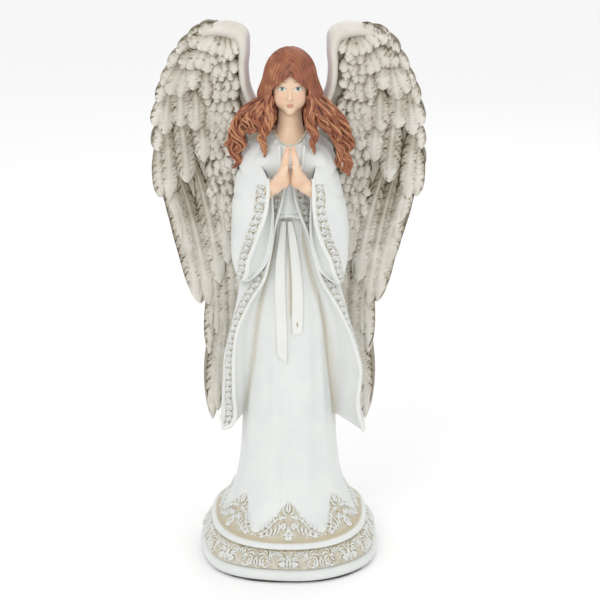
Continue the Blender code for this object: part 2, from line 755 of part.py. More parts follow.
def main():
    clear_scene()
    felt_pad()
    base_hem()
    seated("skirt", skirt_rings(), BOSS_RADIUS, BOSS_LENGTH)
    body = seated("bodice", bodice_rings(), NECK_SPIGOT_RADIUS, NECK_SPIGOT_LENGTH)
    coat = robe_shell("robe")
    gown = [cutter("skirt", skirt_rings()), cutter("bodice", bodice_rings())]
    sockets = [tenon(side, GLUE_LINE) for side in (-1, 1)]
    fit_round(coat, (*gown, *sockets))
    fit_round(body, sockets)
    sash()
    sash_tail(1, LEFT_TAIL_LENGTH)
    sash_tail(-1, RIGHT_TAIL_LENGTH)
    loft("head", head_rings(), "skin")
    cap = loft("hair_cap", hair_cap_rings(), "auburn_hair")

    around_robe = as_cutter(robe_shell("cutter_robe", 1.5 * GLUE_LINE, 4 * ROBE_BITE))
    clothes = [*gown, around_robe]
    bust, hair = cutter("head", head_rings()), cutter("hair", hair_cap_rings())
    fit_round(cap, (bust, face_opening(), *clothes))
    for side in (-1, 1):
        name = side_name(side)
        palm, drape, lock, plume = hand(side), sleeve(side), hair_lock(side), wing(side)
        arm = cutter(f"hand_{name}", hand_rings(side), 1.5 * GLUE_LINE)
        around_drape = cutter(f"drape_{name}", sleeve_rings(side)[0])
        around_arm = cutter(f"arm_{name}", upper_arm_rings(side))
        fit_round(palm, clothes)
        fit_round(drape, (*clothes, arm))
        fit_round(lock, (*clothes, bust, hair, around_arm, around_drape))
        boolean(plume, tenon(side), "UNION")
        boolean(plume, hair)


main()
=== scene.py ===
"""Looks of a resin angel figurine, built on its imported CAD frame.

Lengths are in millimetres until a mesh is made.  The figure faces -Y and its own
left-hand side is at +X.
"""

import math

import bpy
import numpy as np
import openvdb
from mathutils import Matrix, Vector


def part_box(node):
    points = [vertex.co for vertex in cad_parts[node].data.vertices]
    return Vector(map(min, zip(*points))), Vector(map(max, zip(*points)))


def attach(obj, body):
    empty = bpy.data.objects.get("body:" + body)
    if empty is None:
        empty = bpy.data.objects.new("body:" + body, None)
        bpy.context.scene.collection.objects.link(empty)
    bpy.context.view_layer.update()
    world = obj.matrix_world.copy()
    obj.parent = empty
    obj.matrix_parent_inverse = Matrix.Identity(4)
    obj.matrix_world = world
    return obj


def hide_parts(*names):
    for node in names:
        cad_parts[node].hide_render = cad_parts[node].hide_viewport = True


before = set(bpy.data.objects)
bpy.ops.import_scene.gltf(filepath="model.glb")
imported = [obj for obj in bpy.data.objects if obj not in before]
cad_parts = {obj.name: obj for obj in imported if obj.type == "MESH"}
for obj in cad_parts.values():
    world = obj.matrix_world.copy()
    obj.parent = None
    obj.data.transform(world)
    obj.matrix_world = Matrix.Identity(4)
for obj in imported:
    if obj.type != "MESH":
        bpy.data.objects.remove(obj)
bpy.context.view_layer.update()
MM = 0.001


def cad_top(node):
    """Highest corner of the node's box, in millimetres."""
    return np.array(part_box(node)[1]) / MM


HEM_TOP = cad_top("base_hem")[2]
WAIST = cad_top("skirt")[2]
SHOULDER = cad_top("bodice")[2]
WING_HIGH = cad_top("wing_left")
LIP_TOP = 11.0  # top of the lip round the base
SPRAY_TOP = 46.0  # where the relief on the hem ends and the plain gown begins
MOTIF = 37.0  # width that one repeat of the hem's ornament is drawn for

# --------------------------------------------------------------------------------
# Numbers: curves, smooth steps and noise
# --------------------------------------------------------------------------------


def curve(table, t):
    """Smooth curve through rows of (position, value, ...) that doesn't overshoot them."""
    table = np.asarray(table, float)
    t = np.asarray(t, float)
    x, y = table[:, 0], table[:, 1:]
    slope = np.zeros_like(y)
    step = np.diff(x)[:, None]
    secant = np.diff(y, axis=0) / step
    slope[1:-1] = np.where(secant[1:] * secant[:-1] > 0, (secant[1:] + secant[:-1]) / 2, 0)
    slope[0], slope[-1] = secant[0], secant[-1]
    flat = np.clip(t, x[0], x[-1]).ravel()
    i = np.clip(np.searchsorted(x, flat, side="right") - 1, 0, len(x) - 2)
    h = x[i + 1] - x[i]
    f = ((flat - x[i]) / h)[:, None]
    h = h[:, None]
    out = (
        (1 + 2 * f) * (1 - f) ** 2 * y[i]
        + f * (1 - f) ** 2 * h * slope[i]
        + f * f * (3 - 2 * f) * y[i + 1]
        + f * f * (f - 1) * h * slope[i + 1]
    )
    out = out.reshape(t.shape + (y.shape[1],))
    return out[..., 0] if y.shape[1] == 1 else out


def catmull(p0, p1, p2, p3, f):
    """Catmull-Rom blend from p1 to p2 as f goes from 0 to 1."""
    return 0.5 * (
        2 * p1
        + (p2 - p0) * f
        + (2 * p0 - 5 * p1 + 4 * p2 - p3) * f**2
        + (3 * p1 - p0 - 3 * p2 + p3) * f**3
    )


def spline(points, t):
    """Catmull-Rom curve through points (n, k), t from 0 to 1."""
    points = np.asarray(points, float)
    padded = np.vstack([2 * points[0] - points[1], points, 2 * points[-1] - points[-2]])
    u = np.clip(np.asarray(t, float), 0, 1) * (len(points) - 1)
    i = np.minimum(u.astype(int), len(points) - 2)
    return catmull(padded[i], padded[i + 1], padded[i + 2], padded[i + 3], (u - i)[..., None])


def through(knots, s, z):
    """Points of level curves through knots (k, rows, columns, 2), s from 0 to 1, at heights z."""
    spans = len(knots) - 1
    padded = np.concatenate([2 * knots[:1] - knots[1:2], knots, 2 * knots[-1:] - knots[-2:-1]])
    u = np.clip(s, 0, 1) * spans
    i = np.minimum(u.astype(int), spans - 1)
    rows, columns = np.indices(s.shape)
    corners = [padded[i + k, rows, columns] for k in range(4)]
    return np.concatenate([catmull(*corners, (u - i)[..., None]), z[..., None]], -1)


def smoothed(path, times):
    """The path with its inner points drawn towards their neighbours."""
    path = path.copy()
    for _ in range(times):
        path[1:-1] = 0.25 * path[:-2] + 0.5 * path[1:-1] + 0.25 * path[2:]
    return path


def step(low, high, x):
    """Smooth step from 0 at low to 1 at high."""
    s = np.clip((np.asarray(x, float) - low) / (high - low), 0, 1)
    return s * s * (3 - 2 * s)


def bump(x, width):
    """Bell curve of height 1 round 0."""
    return np.exp(-((np.asarray(x, float) / width) ** 2))


def noise(p, size, seed=0):
    """Smooth noise from -1 to 1 at points (..., 3), with features of this size."""
    q = np.asarray(p, float) / size + 31.7 * seed + 0.37
    i = np.floor(q).astype(np.int64)
    f = q - i
    f = f * f * (3 - 2 * f)
    total = 0
    for dx in (0, 1):
        for dy in (0, 1):
            for dz in (0, 1):
                n = (i[..., 0] + dx) * 73856093 ^ (i[..., 1] + dy) * 19349663 ^ (i[..., 2] + dz) * 83492791
                n = ((n ^ (n >> 13)) * 1274126177) & 0x7FFFFFFF
                n = ((n ^ (n >> 15)) * 668265263) & 0x7FFFFFFF
                weight = (
                    (f[..., 0] if dx else 1 - f[..., 0])
                    * (f[..., 1] if dy else 1 - f[..., 1])
                    * (f[..., 2] if dz else 1 - f[..., 2])
                )
                total = total + weight * (n / 0x3FFFFFFF - 1)
    return total


def cloud(p, size, seed=0, layers=3):
    """Noise of several sizes added up."""
    return sum(noise(p, size / 2**k, seed + k) / 2**k for k in range(layers))


# --------------------------------------------------------------------------------
# Meshes
# --------------------------------------------------------------------------------


class Shape:
    """Points, faces and painted values of one piece, added up part by part."""

    def __init__(self):
        self.points, self.faces, self.count = [], [], 0
        self.paint = {}

    def add(self, points, faces, **paint):
        points = np.asarray(points, float).reshape(-1, 3)
        self.points.append(points)
        for group in faces:
            self.faces.append(np.asarray(group, np.int64) + self.count)
        for name in dict.fromkeys([*self.paint, *paint]):
            held = self.paint.setdefault(name, [np.zeros(self.count)])
            value = np.asarray(paint.get(name, 0.0), float)
            held.append(value.ravel() if value.ndim else np.full(len(points), value))
        self.count += len(points)

    def sheet(self, grid, flip=False, **paint):
        self.add(grid, [grid_quads(*grid.shape[:2], flip=flip)], **paint)


def grid_quads(rows, columns, wrap=False, flip=False):
    index = np.arange(rows * columns).reshape(rows, columns)
    if wrap:
        index = np.hstack([index, index[:, :1]])
    a, b, c, d = index[:-1, :-1], index[:-1, 1:], index[1:, 1:], index[1:, :-1]
    quads = np.stack([a, b, c, d], -1).reshape(-1, 4)
    return quads[:, ::-1] if flip else quads


def make(name, shape, material, nodes, sharp=50.0):
    """The finished object, riding on the frame in place of its CAD nodes."""
    points = np.vstack(shape.points) * MM
    mesh = bpy.data.meshes.new(name)
    mesh.vertices.add(len(points))
    mesh.vertices.foreach_set("co", points.astype(np.float32).ravel())
    sizes = np.concatenate([np.full(len(f), f.shape[1]) for f in shape.faces])
    loops = np.concatenate([f.ravel() for f in shape.faces])
    mesh.loops.add(len(loops))
    mesh.loops.foreach_set("vertex_index", loops.astype(np.int32))
    mesh.polygons.add(len(sizes))
    starts = np.concatenate([[0], np.cumsum(sizes)[:-1]])
    mesh.polygons.foreach_set("loop_start", starts.astype(np.int32))
    mesh.update(calc_edges=True)
    mesh.validate()
    for key, values in shape.paint.items():
        layer = mesh.attributes.new(key, "FLOAT", "POINT")
        layer.data.foreach_set("value", np.concatenate(values).astype(np.float32))
    mesh.materials.append(material)
    mesh.shade_smooth()
    mesh.set_sharp_from_angle(angle=math.radians(sharp))
    obj = bpy.data.objects.new(name, mesh)
    bpy.context.scene.collection.objects.link(obj)
    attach(obj, "root")
    if nodes:
        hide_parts(*nodes)


def unit(v):
    v = np.asarray(v, float)
    return v / np.maximum(np.linalg.norm(v, axis=-1, keepdims=True), 1e-9)


def sweep(path, across, rx, ry, sides=20, ripple=None):
    """Rings of a tube along path (n, 3); across (n, 3) is the direction of rx."""
    path = np.asarray(path, float)
    ahead = unit(np.gradient(path, axis=0))
    side = np.asarray(across, float) - np.sum(across * ahead, -1, keepdims=True) * ahead
    side = unit(side)
    up = np.cross(ahead, side)
    a = np.arange(sides) / sides * 2 * math.pi
    rx, ry = np.broadcast_to(rx, len(path)), np.broadcast_to(ry, len(path))
    scale = 1.0 if ripple is None else ripple
    c, s = np.cos(a)[None] * scale, np.sin(a)[None] * scale
    return (
        path[:, None]
        + side[:, None] * (c * rx[:, None])[..., None]
        + up[:, None] * (s * ry[:, None])[..., None]
    )


def closed_tube(shape, rings, flip=False, **paint):
    """Adds a tube with a point at each end."""
    rows, sides = rings.shape[:2]
    points = np.vstack([rings.reshape(-1, 3), rings[0].mean(0), rings[-1].mean(0)])
    first, last = rows * sides, rows * sides + 1
    j = np.arange(sides)
    k = (j + 1) % sides
    low = np.stack([k, j, np.full(sides, first)], -1)
    high = np.stack([(rows - 1) * sides + j, (rows - 1) * sides + k, np.full(sides, last)], -1)
    quads = grid_quads(rows, sides, wrap=True)
    if flip:
        quads, low, high = quads[:, ::-1], low[:, ::-1], high[:, ::-1]
    full = {}
    for key, value in paint.items():
        value = np.broadcast_to(value, (rows, sides)).reshape(-1)
        full[key] = np.concatenate([value, [value[:sides].mean(), value[-sides:].mean()]])
    shape.add(points, [quads, low, high], **full)


# --------------------------------------------------------------------------------
# Materials
# --------------------------------------------------------------------------------


def srgb(r, g, b):
    """Linear paint colour that comes out as this 8-bit screen colour under the studio light."""
    def one(v):
        v /= 255
        return 0.84 * (v / 12.92 if v <= 0.04045 else ((v + 0.055) / 1.055) ** 2.4)
    return (one(r), one(g), one(b), 1.0)


class Paint:
    """Node tree of a painted resin surface."""

    def __init__(self, name, roughness, coat=0.0):
        self.material = bpy.data.materials.new(name)
        self.material.use_nodes = True
        self.nodes = self.material.node_tree.nodes
        self.links = self.material.node_tree.links
        self.shader = self.nodes["Principled BSDF"]
        self.shader.inputs["Roughness"].default_value = roughness
        self.shader.inputs["Specular IOR Level"].default_value = 0.4
        self.shader.inputs["Coat Weight"].default_value = coat
        self.shader.inputs["Coat Roughness"].default_value = 0.3
        self.coords = self.nodes.new("ShaderNodeTexCoord")

    def node(self, kind, **settings):
        made = self.nodes.new(kind)
        for key, value in settings.items():
            setattr(made, key, value)
        return made

    def attribute(self, name):
        return self.node("ShaderNodeAttribute", attribute_name=name).outputs["Fac"]

    def noise(self, scale, detail=3.0, roughness=0.55):
        made = self.node("ShaderNodeTexNoise")
        made.inputs["Scale"].default_value = scale
        made.inputs["Detail"].default_value = detail
        made.inputs["Roughness"].default_value = roughness
        self.links.new(self.coords.outputs["Object"], made.inputs["Vector"])
        return made.outputs["Fac"]

    def range(self, value, low, high, to_low=0.0, to_high=1.0):
        made = self.node("ShaderNodeMapRange", interpolation_type="SMOOTHSTEP")
        for key, number in (("From Min", low), ("From Max", high), ("To Min", to_low), ("To Max", to_high)):
            made.inputs[key].default_value = number
        self.links.new(value, made.inputs["Value"])
        return made.outputs["Result"]

    def math(self, operation, a, b):
        made = self.node("ShaderNodeMath", operation=operation)
        for socket, value in zip(made.inputs, (a, b)):
            if isinstance(value, (int, float)):
                socket.default_value = value
            else:
                self.links.new(value, socket)
        return made.outputs[0]

    def mix(self, factor, a, b):
        made = self.node("ShaderNodeMix", data_type="RGBA")
        sockets = {"Factor": factor, "A": a, "B": b}
        for socket in made.inputs:
            if socket.name in sockets and socket.enabled and socket.type in ("RGBA", "VALUE"):
                value = sockets[socket.name]
                if isinstance(value, (tuple, int, float)):
                    socket.default_value = value
                else:
                    self.links.new(value, socket)
        return next(s for s in made.outputs if s.type == "RGBA")

    def finish(self, colour, bump_from, bump_depth, roughness_from=None):
        self.links.new(colour, self.shader.inputs["Base Color"])
        made = self.node("ShaderNodeBump")
        made.inputs["Distance"].default_value = bump_depth
        made.inputs["Strength"].default_value = 1.0
        self.links.new(bump_from, made.inputs["Height"])
        self.links.new(made.outputs["Normal"], self.shader.inputs["Normal"])
        if roughness_from is not None:
            self.links.new(roughness_from, self.shader.inputs["Roughness"])
        return self.material


def resin_paint(name, clean, shade, wash, line, roughness, wash_reach=(0.25, 0.85), shaded_side_colour=None):
    """Painted resin: clean coat, softly clouded, darkened where the wash attribute is high; that attribute
    holds antique wash in the hollows and, on many pieces, painted shade.
    """
    p = Paint(name, roughness)
    clouds = p.noise(60.0, 4.0)
    specks = p.noise(900.0, 3.0, 0.6)
    base = p.mix(p.range(clouds, 0.35, 0.68), clean, shade)
    # per point: antique wash in hollows together with painted shade
    held = p.attribute("wash")
    broken = p.math("ADD", held, p.math("MULTIPLY", p.math("SUBTRACT", specks, 0.5), 0.35))
    washed = p.mix(p.range(broken, *wash_reach), base, wash)
    lined = p.mix(p.range(held, 0.86, 1.25), washed, line)
    # painted shade: a lilac-grey colour on the side face of each wing's arm
    if shaded_side_colour:
        lined = p.mix(p.attribute("lilac"), lined, shaded_side_colour)
    rough = p.range(clouds, 0.3, 0.7, roughness - 0.05, roughness + 0.08)
    return p.finish(lined, specks, 0.00006, rough)


WHITE = resin_paint(
    "white gown paint", srgb(238, 241, 238), srgb(233, 236, 234), srgb(214, 205, 184), srgb(150, 132, 105),
    0.42
)
CREAM = resin_paint(
    "cream edge paint", srgb(242, 238, 226), srgb(236, 232, 218), srgb(205, 190, 160), srgb(140, 118, 90),
    0.42
)
# Wing paint: antique wash in the cuts and nicks, painted shade where feathers overlap and between them, and
# lilac-grey painted shade on the arm's side face.
WING = resin_paint(
    "wing paint with antique wash and painted shade", srgb(236, 232, 222), srgb(222, 217, 204), srgb(150, 139, 119), srgb(88, 75, 57),
    0.5, (0.05, 0.95), shaded_side_colour=srgb(208, 200, 204)
)
SASH = resin_paint(
    "sash paint", srgb(243, 244, 240), srgb(238, 240, 235), srgb(205, 196, 174), srgb(140, 122, 96), 0.42
)
RELIEF = resin_paint(
    "antiqued relief paint", srgb(238, 241, 238), srgb(233, 236, 234), srgb(204, 193, 167),
    srgb(112, 94, 68), 0.5
)

# --------------------------------------------------------------------------------
# Wings: a curved slab with an arm along its leading edge and rows of feathers
# --------------------------------------------------------------------------------

TOP_SHIFT = WING_HIGH[2] - 301.0  # the outlines below are drawn for a wing top at 301
REACH = WING_HIGH[0] / 74.5

# Outline of the slab under the feathers, (outwards, up)
SLAB_INNER = [
    (27, 293), (27, 284), (25, 271), (20, 259), (13, 246), (8, 226), (8, 200), (12, 170), (19, 140),
    (26, 115), (36, 92)
]
SLAB_OUTER = [
    (34, 297), (50, 291), (60, 277), (65, 260), (66, 240), (64, 215), (58, 190), (50, 163), (43, 138),
    (38, 110), (40, 90)
]


def wing_depth(x, z):
    """How far back the middle surface of a wing lies at this place."""
    root = 21.5 + 7.0 * step(190, 120, z) * step(45, 20, x)
    cup = 4.0 * bump(x - 46, 17) * step(150, 205, z)
    forward = 5.0 * step(48, 76, x) ** 1.5 * step(150, 215, z)
    return root + cup - forward + 1.5 * step(292, 303, z)


def feather(shape, tip, lean, length, width, lift, front, seed, pointed=0.0, curl=0.0, fine=0.6):
    """One feather lying on the wing, from under its neighbours to its tip.

    lean is the angle in degrees of its shaft from straight down, outwards.
    """
    rng = np.random.default_rng(seed)
    rows = max(9, int(length / fine))
    half = max(3, int(width / 2 / max(1.0, fine)))
    t = np.concatenate(
        [np.linspace(0, 0.82, rows - 6, endpoint=False), 1 - 0.18 * (1 - np.linspace(0, 1, 6)) ** 1.6]
    )
    s = np.sin(np.linspace(-1, 1, 2 * half + 1) * math.pi / 2)
    a = math.radians(lean)
    down = np.array([math.sin(a), -math.cos(a)])
    aside = np.array([math.cos(a), math.sin(a)])
    base = np.array(tip, float) - down * length
    bow = curl * length * (t - t**2) * 4
    middle = base + down * (t * length)[:, None] + aside * bow[:, None]
    round_end = np.sqrt(np.clip(1 - (np.clip(t - 0.7, 0, 1) / 0.3) ** 2, 0, 1))
    sharp_end = np.clip((1 - t) / 0.35, 0, 1) ** 0.7
    outline = (
        (0.45 + 0.55 * step(0, 0.5, t))
        * ((1 - pointed) * round_end + pointed * np.minimum(round_end, sharp_end))
    )
    outline = np.maximum(outline, 0.03) * width / 2
    across = outline[:, None] * s[None]
    tt, ss = np.meshgrid(t, s, indexing="ij")
    run = tt * length - np.abs(across) * 1.3 + 0.5 * np.sin(tt * 7 + rng.uniform(0, 6))
    fine_line = (
        np.clip(np.cos(2 * math.pi * run / 1.45) * 1.6 - 0.6, 0, 1) * step(0.15, 0.4, np.abs(ss))
        * step(0.05, 0.3, tt)
    )
    cut = np.zeros_like(tt)
    for side in (-1, 1):
        at = rng.uniform(0.5, 3.0)
        while at < length - 1.5:
            reach = rng.uniform(0.12, 0.55)
            deep = rng.uniform(0.35, 1.0)
            line = bump(run - at, 0.5) * step(reach, reach + 0.3, side * ss) * deep
            cut = np.maximum(cut, line)
            at += rng.uniform(3.0, 6.5)
    shaft = bump(ss, 0.10 if width > 8 else 0.13) * step(1.0, 0.8, tt)
    crown = 1 - np.abs(ss) ** 2.4
    height = lift * (0.2 + 0.8 * tt**1.2) + 0.11 * width * crown + 0.28 * shaft
    height -= 0.05 * fine_line + 0.65 * cut + 0.3 * np.abs(ss) ** 8
    place = middle[:, None] + aside * across[..., None]
    x, z = place[..., 0], place[..., 1]
    sign = -1 if front else 1
    surface = wing_depth(x, z) + sign * 1.4
    y = surface + sign * height
    top = np.stack([x, y, z], -1)
    # cut and barb lines hold antique wash; the covered base of each feather is darkened as painted shade of
    # the row above, and its sides partly as antique wash in the crevices and partly as painted shade between
    # feathers
    wash = (
        0.12 + 0.32 * fine_line + 1.3 * cut + 0.75 * np.abs(ss) ** 6 * step(1.0, 0.7, tt)
        + 0.8 * (1 - tt) ** 2
    )
    wash += 0.42 * (bump(np.abs(ss) - 0.2, 0.07) * step(1, 0.5, tt)) - 0.12 * shaft
    wash = wash + 0.16 * noise(top, 6.0, 3)
    rows, columns = top.shape[:2]
    rim = np.concatenate([
        np.arange(columns),
        np.arange(1, rows) * columns + columns - 1,
        (rows - 1) * columns + np.arange(columns - 2, -1, -1),
        np.arange(rows - 2, 0, -1) * columns,
    ])
    flat = top.reshape(-1, 3)
    under = flat[rim].copy()
    under[:, 1] = (wing_depth(under[:, 0], under[:, 2]) + sign * 1.4) + sign * (height.reshape(-1)[rim] - 1.5)
    n = rows * columns
    j = np.arange(len(rim))
    k = (j + 1) % len(rim)
    wall = np.stack([rim[j], n + j, n + k, rim[k]], -1)
    # the underside is bridged from edge to edge
    left = np.concatenate([[n], n + len(rim) - 1 - np.arange(rows - 2)])
    right = n + columns - 1 + np.arange(rows - 1)
    ladder = np.stack([left[:-1], left[1:], right[1:], right[:-1]], -1)
    tip_row = np.arange(n + columns - 1 + rows - 1, n + columns - 1 + rows - 1 + columns)
    fan = np.concatenate([[left[-1]], [right[-1]], tip_row])
    quads = grid_quads(rows, columns)
    # grid_quads faces +Y for these axes, so the front ones are turned round
    if front:
        quads, wall, ladder, fan = quads[:, ::-1], wall[:, ::-1], ladder[:, ::-1], fan[::-1]
    full = np.concatenate([wash.reshape(-1), np.clip(0.4 * wash.reshape(-1)[rim] + 0.25, 0, 0.6)])
    shape.add(np.vstack([flat, under]), [quads, wall, ladder, fan[None]], wash=full)


def row_of(control, count):
    """Tips and sizes of the feathers of one row, evenly spaced from control rows."""
    return spline(control, np.linspace(0, 1, count))


# Each row: (control rows of tip x, tip z, lean, length, width), count, lift, point
LOW_ROWS = [
    (
        [
            (45.6, 71, 9, 95, 10), (41, 77, 7, 92, 10), (36, 86, 5, 86, 10), (30, 98, 3, 80, 10),
            (24, 112, 1, 72, 10)
        ],
        6, 0.5, 0.35
    ),
    (
        [
            (46.5, 112, 5, 60, 8), (45.0, 128, -2, 55, 8), (40, 120, -2, 60, 9), (34, 128, -2, 60, 9),
            (28, 140, -2, 60, 9)
        ],
        6, 1.1, 0.3
    ),
    (
        [
            (64.8, 194, -12, 38, 8), (60.5, 180, -14, 46, 9), (55.5, 162, -14, 60, 10.5),
            (48.8, 136.5, -13, 84, 12.5), (42.2, 150, -12, 76, 13), (36, 163, -9, 64, 12.5),
            (30, 176, -6, 54, 12), (24, 188, -4, 46, 11)
        ],
        9, 1.7, 0.15
    ),
]
MID_ROWS = [
    (
        [
            (72.4, 207, 0, 34, 8), (67.5, 205, -4, 50, 10), (57.2, 213.5, -6, 46, 12.5),
            (48.3, 225.5, -5, 38, 12), (41, 232, -3, 32, 11), (34, 236, -2, 27, 10), (28, 238, -2, 24, 9)
        ],
        7, 2.6, 0.12
    ),
    (
        [
            (74.6, 247.5, 22, 20, 8), (69.5, 243, 8, 28, 10), (60.7, 246, 1, 30, 13),
            (51.5, 243, -1, 27, 12.5), (43.5, 243, -2, 23, 11), (37, 245, -2, 20, 10)
        ],
        6, 3.5, 0.1
    ),
    (
        [
            (66.5, 266, 26, 22, 10.5), (60.5, 263, 14, 22, 11.5), (53.5, 267, 5, 20, 11.5),
            (46, 262, 0, 18, 10.5), (40, 262, -3, 15, 9), (35, 263, -5, 13, 8)
        ],
        6, 4.2, 0.08
    ),
    (
        [
            (60, 281, 48, 17, 9.5), (54.5, 279, 30, 17, 10), (48, 277, 14, 15, 9.5), (42, 275, 4, 13, 8.5),
            (36.5, 275, 0, 11, 8)
        ],
        6, 4.8, 0.08
    ),
    (
        [
            (55, 292.5, 62, 15, 8.5), (49, 290, 46, 13, 8.5), (44, 288, 30, 12, 8), (39, 286, 14, 11, 7.5),
            (34.5, 285, 2, 10, 7)
        ],
        6, 5.3, 0.08
    ),
]
RIM_ROWS = [
    ([(73.6, 222, 6, 18, 7), (74.3, 233, 12, 18, 7.5)], 2, 1.6, 0.3),
    (
        [
            (72.6, 260, 26, 18, 8), (69.6, 271, 36, 18, 8), (64.6, 283, 48, 17, 8),
            (58.5, 292.3, 60, 16, 8), (51, 297.2, 68, 13, 7.5), (44, 298.0, 80, 10, 6)
        ],
        7, 2.4, 0.35
    ),
]
FRONT_ROWS = LOW_ROWS + RIM_ROWS + MID_ROWS
BACK_ROWS = LOW_ROWS[:1] + RIM_ROWS + [
    (
        [
            (64.8, 194, -12, 38, 9), (55.5, 162, -14, 60, 11), (48.8, 136.5, -13, 84, 12.5),
            (41.8, 146, -12, 74, 13), (33, 158, -9, 62, 13), (25, 170, -6, 52, 13), (17, 182, -3, 44, 12)
        ],
        8, 1.3, 0.15
    ),
    (
        [
            (72.0, 208, -2, 40, 9), (64, 207, -5, 46, 12), (55, 212, -6, 42, 13), (46, 220, -5, 36, 13),
            (37, 225, -3, 32, 12), (28, 226, -2, 30, 12), (19, 225, 0, 28, 12)
        ],
        7, 2.1, 0.12
    ),
    (
        [
            (74.4, 247.5, 20, 22, 9), (66, 244, 6, 30, 12), (57, 247, 1, 30, 13), (48, 247, -1, 26, 13),
            (39, 247, -2, 24, 12), (30, 244, -2, 22, 11), (21, 241, 0, 20, 10)
        ],
        7, 2.9, 0.1
    ),
    (
        [
            (66, 266, 26, 22, 11), (57, 266, 10, 20, 12), (48, 267, 2, 18, 11.5), (39, 266, -3, 16, 11),
            (30, 262, -5, 15, 10)
        ],
        6, 3.6, 0.08
    ),
    (
        [(57, 283, 46, 17, 10), (48, 283, 24, 15, 10), (40, 282, 6, 13, 9.5), (32, 280, -4, 12, 8.5)], 5,
        4.2, 0.08
    ),
    ([(50, 293, 60, 12, 8), (43, 292, 34, 11, 8), (36, 291, 8, 10, 7.5)], 4, 4.6, 0.08),
]


def arm_path():
    """Leading edge, from behind the shoulder over the top lobe to the outer shoulder of the wing."""
    points = [
        (13, 243), (19.0, 257), (23.6, 268), (25.0, 279), (24.6, 290), (26.6, 297.2), (33, 300.0),
        (41, 299.6), (48, 296.6), (54, 291), (58.5, 284)
    ]
    return spline(points, np.linspace(0, 1, 90))


def wing(side):
    shape = Shape()
    v = np.linspace(0, 1, 70)
    inner, outer = spline(SLAB_INNER, v), spline(SLAB_OUTER, v)
    u = np.linspace(0, 1, 22)
    place = inner[:, None] + (outer - inner)[:, None] * u[None, :, None]
    x, z = place[..., 0], place[..., 1]
    y = wing_depth(x, z)
    half = 2.0 * np.sqrt(np.clip(1 - (2 * u - 1) ** 8, 0.02, 1))[None] * np.ones_like(x)
    front = np.stack([x, y - half, z], -1)
    back = np.stack([x, y + half, z], -1)
    loop = np.concatenate([front, back[:, ::-1]], axis=1)
    closed_tube(shape, loop, wash=0.5)

    seed = 40 if side > 0 else 900
    for facing, rows in ((True, FRONT_ROWS), (False, BACK_ROWS)):
        for control, count, lift, point in rows:
            made = row_of(control, count)
            for i in range(count):
                seed += 1
                rng = np.random.default_rng(seed)
                tx, tz, lean, length, width = made[i]
                tip = (tx + rng.normal(0, 0.35), tz + rng.normal(0, 0.7))
                own = lift + 0.35 * (i % 2) + rng.uniform(0, 0.2)
                curl = 0.05 if tz < 100 else 0.02 * math.copysign(1, lean)
                feather(
                    shape, tip, lean + rng.normal(0, 1.2), length, width, own, facing, seed, point, curl,
                    0.95 if length > 30 else 0.8
                )

    # small scale-like feathers down the inside, under the arm
    for i in range(20):
        z = 288 - i * 5.3
        for c in range(4):
            seed += 1
            rng = np.random.default_rng(seed)
            x = (
                29.8 + 4.4 * c + (2.0 if i % 2 else 0) + 1.6 * math.sin(i * 0.5)
                - 5.0 * float(step(215, 185, z))
            )
            if c == 3 and z > 262:
                continue
            tip = (x + rng.normal(0, 0.5) - 1.2, z + rng.normal(0, 0.9) - 0.9 * c)
            lift = 5.6 - 0.55 * c - 1.6 * float(step(240, 190, z)) + 0.3 * (i % 2)
            feather(
                shape, tip, rng.normal(-22 + 9 * c, 9), 10.5, rng.uniform(5.6, 7.4), lift, True, seed, 0.15,
                0.0, 1.0
            )

    outline = arm_path()
    n = len(outline)
    t = np.linspace(0, 1, n)
    depth = (
        wing_depth(outline[:, 0], outline[:, 1]) - curve([(0, 1.0), (0.3, 1.5), (0.55, 1.0), (1, -0.5)], t)
    )
    path = np.stack([outline[:, 0], depth, outline[:, 1]], -1)
    rx = curve([(0, 3.6), (0.25, 3.0), (0.42, 3.6), (0.52, 5.2), (0.62, 4.6), (0.8, 3.0), (1.0, 1.0)], t)
    ry = curve([(0, 5.0), (0.25, 7.4), (0.5, 7.6), (0.62, 6.6), (0.8, 4.6), (1.0, 1.6)], t)
    across = np.cross(unit(np.gradient(path, axis=0)), np.array([0, 1.0, 0]))
    rings = sweep(path, across, rx, ry, 36)
    rough = 0.22 * cloud(rings, 6.0, 5) * step(0.45, 0.75, t)[:, None]
    centre = path[:, None]
    rings = centre + (rings - centre) * (1 + 0.10 * rough[..., None])
    nick = np.clip(noise(rings, 2.6, 9) - 0.35, 0, 1) * step(0.42, 0.7, t)[:, None]
    inward = np.clip((centre - rings)[..., 0] / rx[:, None], 0, 1) * step(0.56, 0.44, t)[:, None]
    wash = 0.02 + 0.9 * nick + 0.35 * step(0.55, 0.95, t)[:, None] * np.ones(rings.shape[:2])
    # the arm's side face towards the head gets lilac-grey painted shade instead of wash
    closed_tube(shape, rings, wash=wash * (1 - inward), lilac=step(0.3, 0.75, inward))

    for chunk in shape.points:
        chunk[:, 0] *= side * REACH
        chunk[:, 2] += TOP_SHIFT
    if side < 0:
        shape.faces = [f[:, ::-1] for f in shape.faces]
    name = "wing_left" if side > 0 else "wing_right"
    make(name + "_feathers", shape, WING, [name], 60)


for side in (1, -1):
    wing(side)

# --------------------------------------------------------------------------------
# Gown: the body of the figure, and what lies on it
# --------------------------------------------------------------------------------


def eased(table, t):
    """Smooth steps through (position, value) rows, flat beyond the ends."""
    table = np.asarray(table, float)
    t = np.asarray(t, float)
    out = np.full(t.shape, table[0, 1])
    for (t0, v0), (t1, v1) in zip(table, table[1:]):
        out = np.where(t >= t0, v0 + (v1 - v0) * step(t0, t1, t), out)
    return out


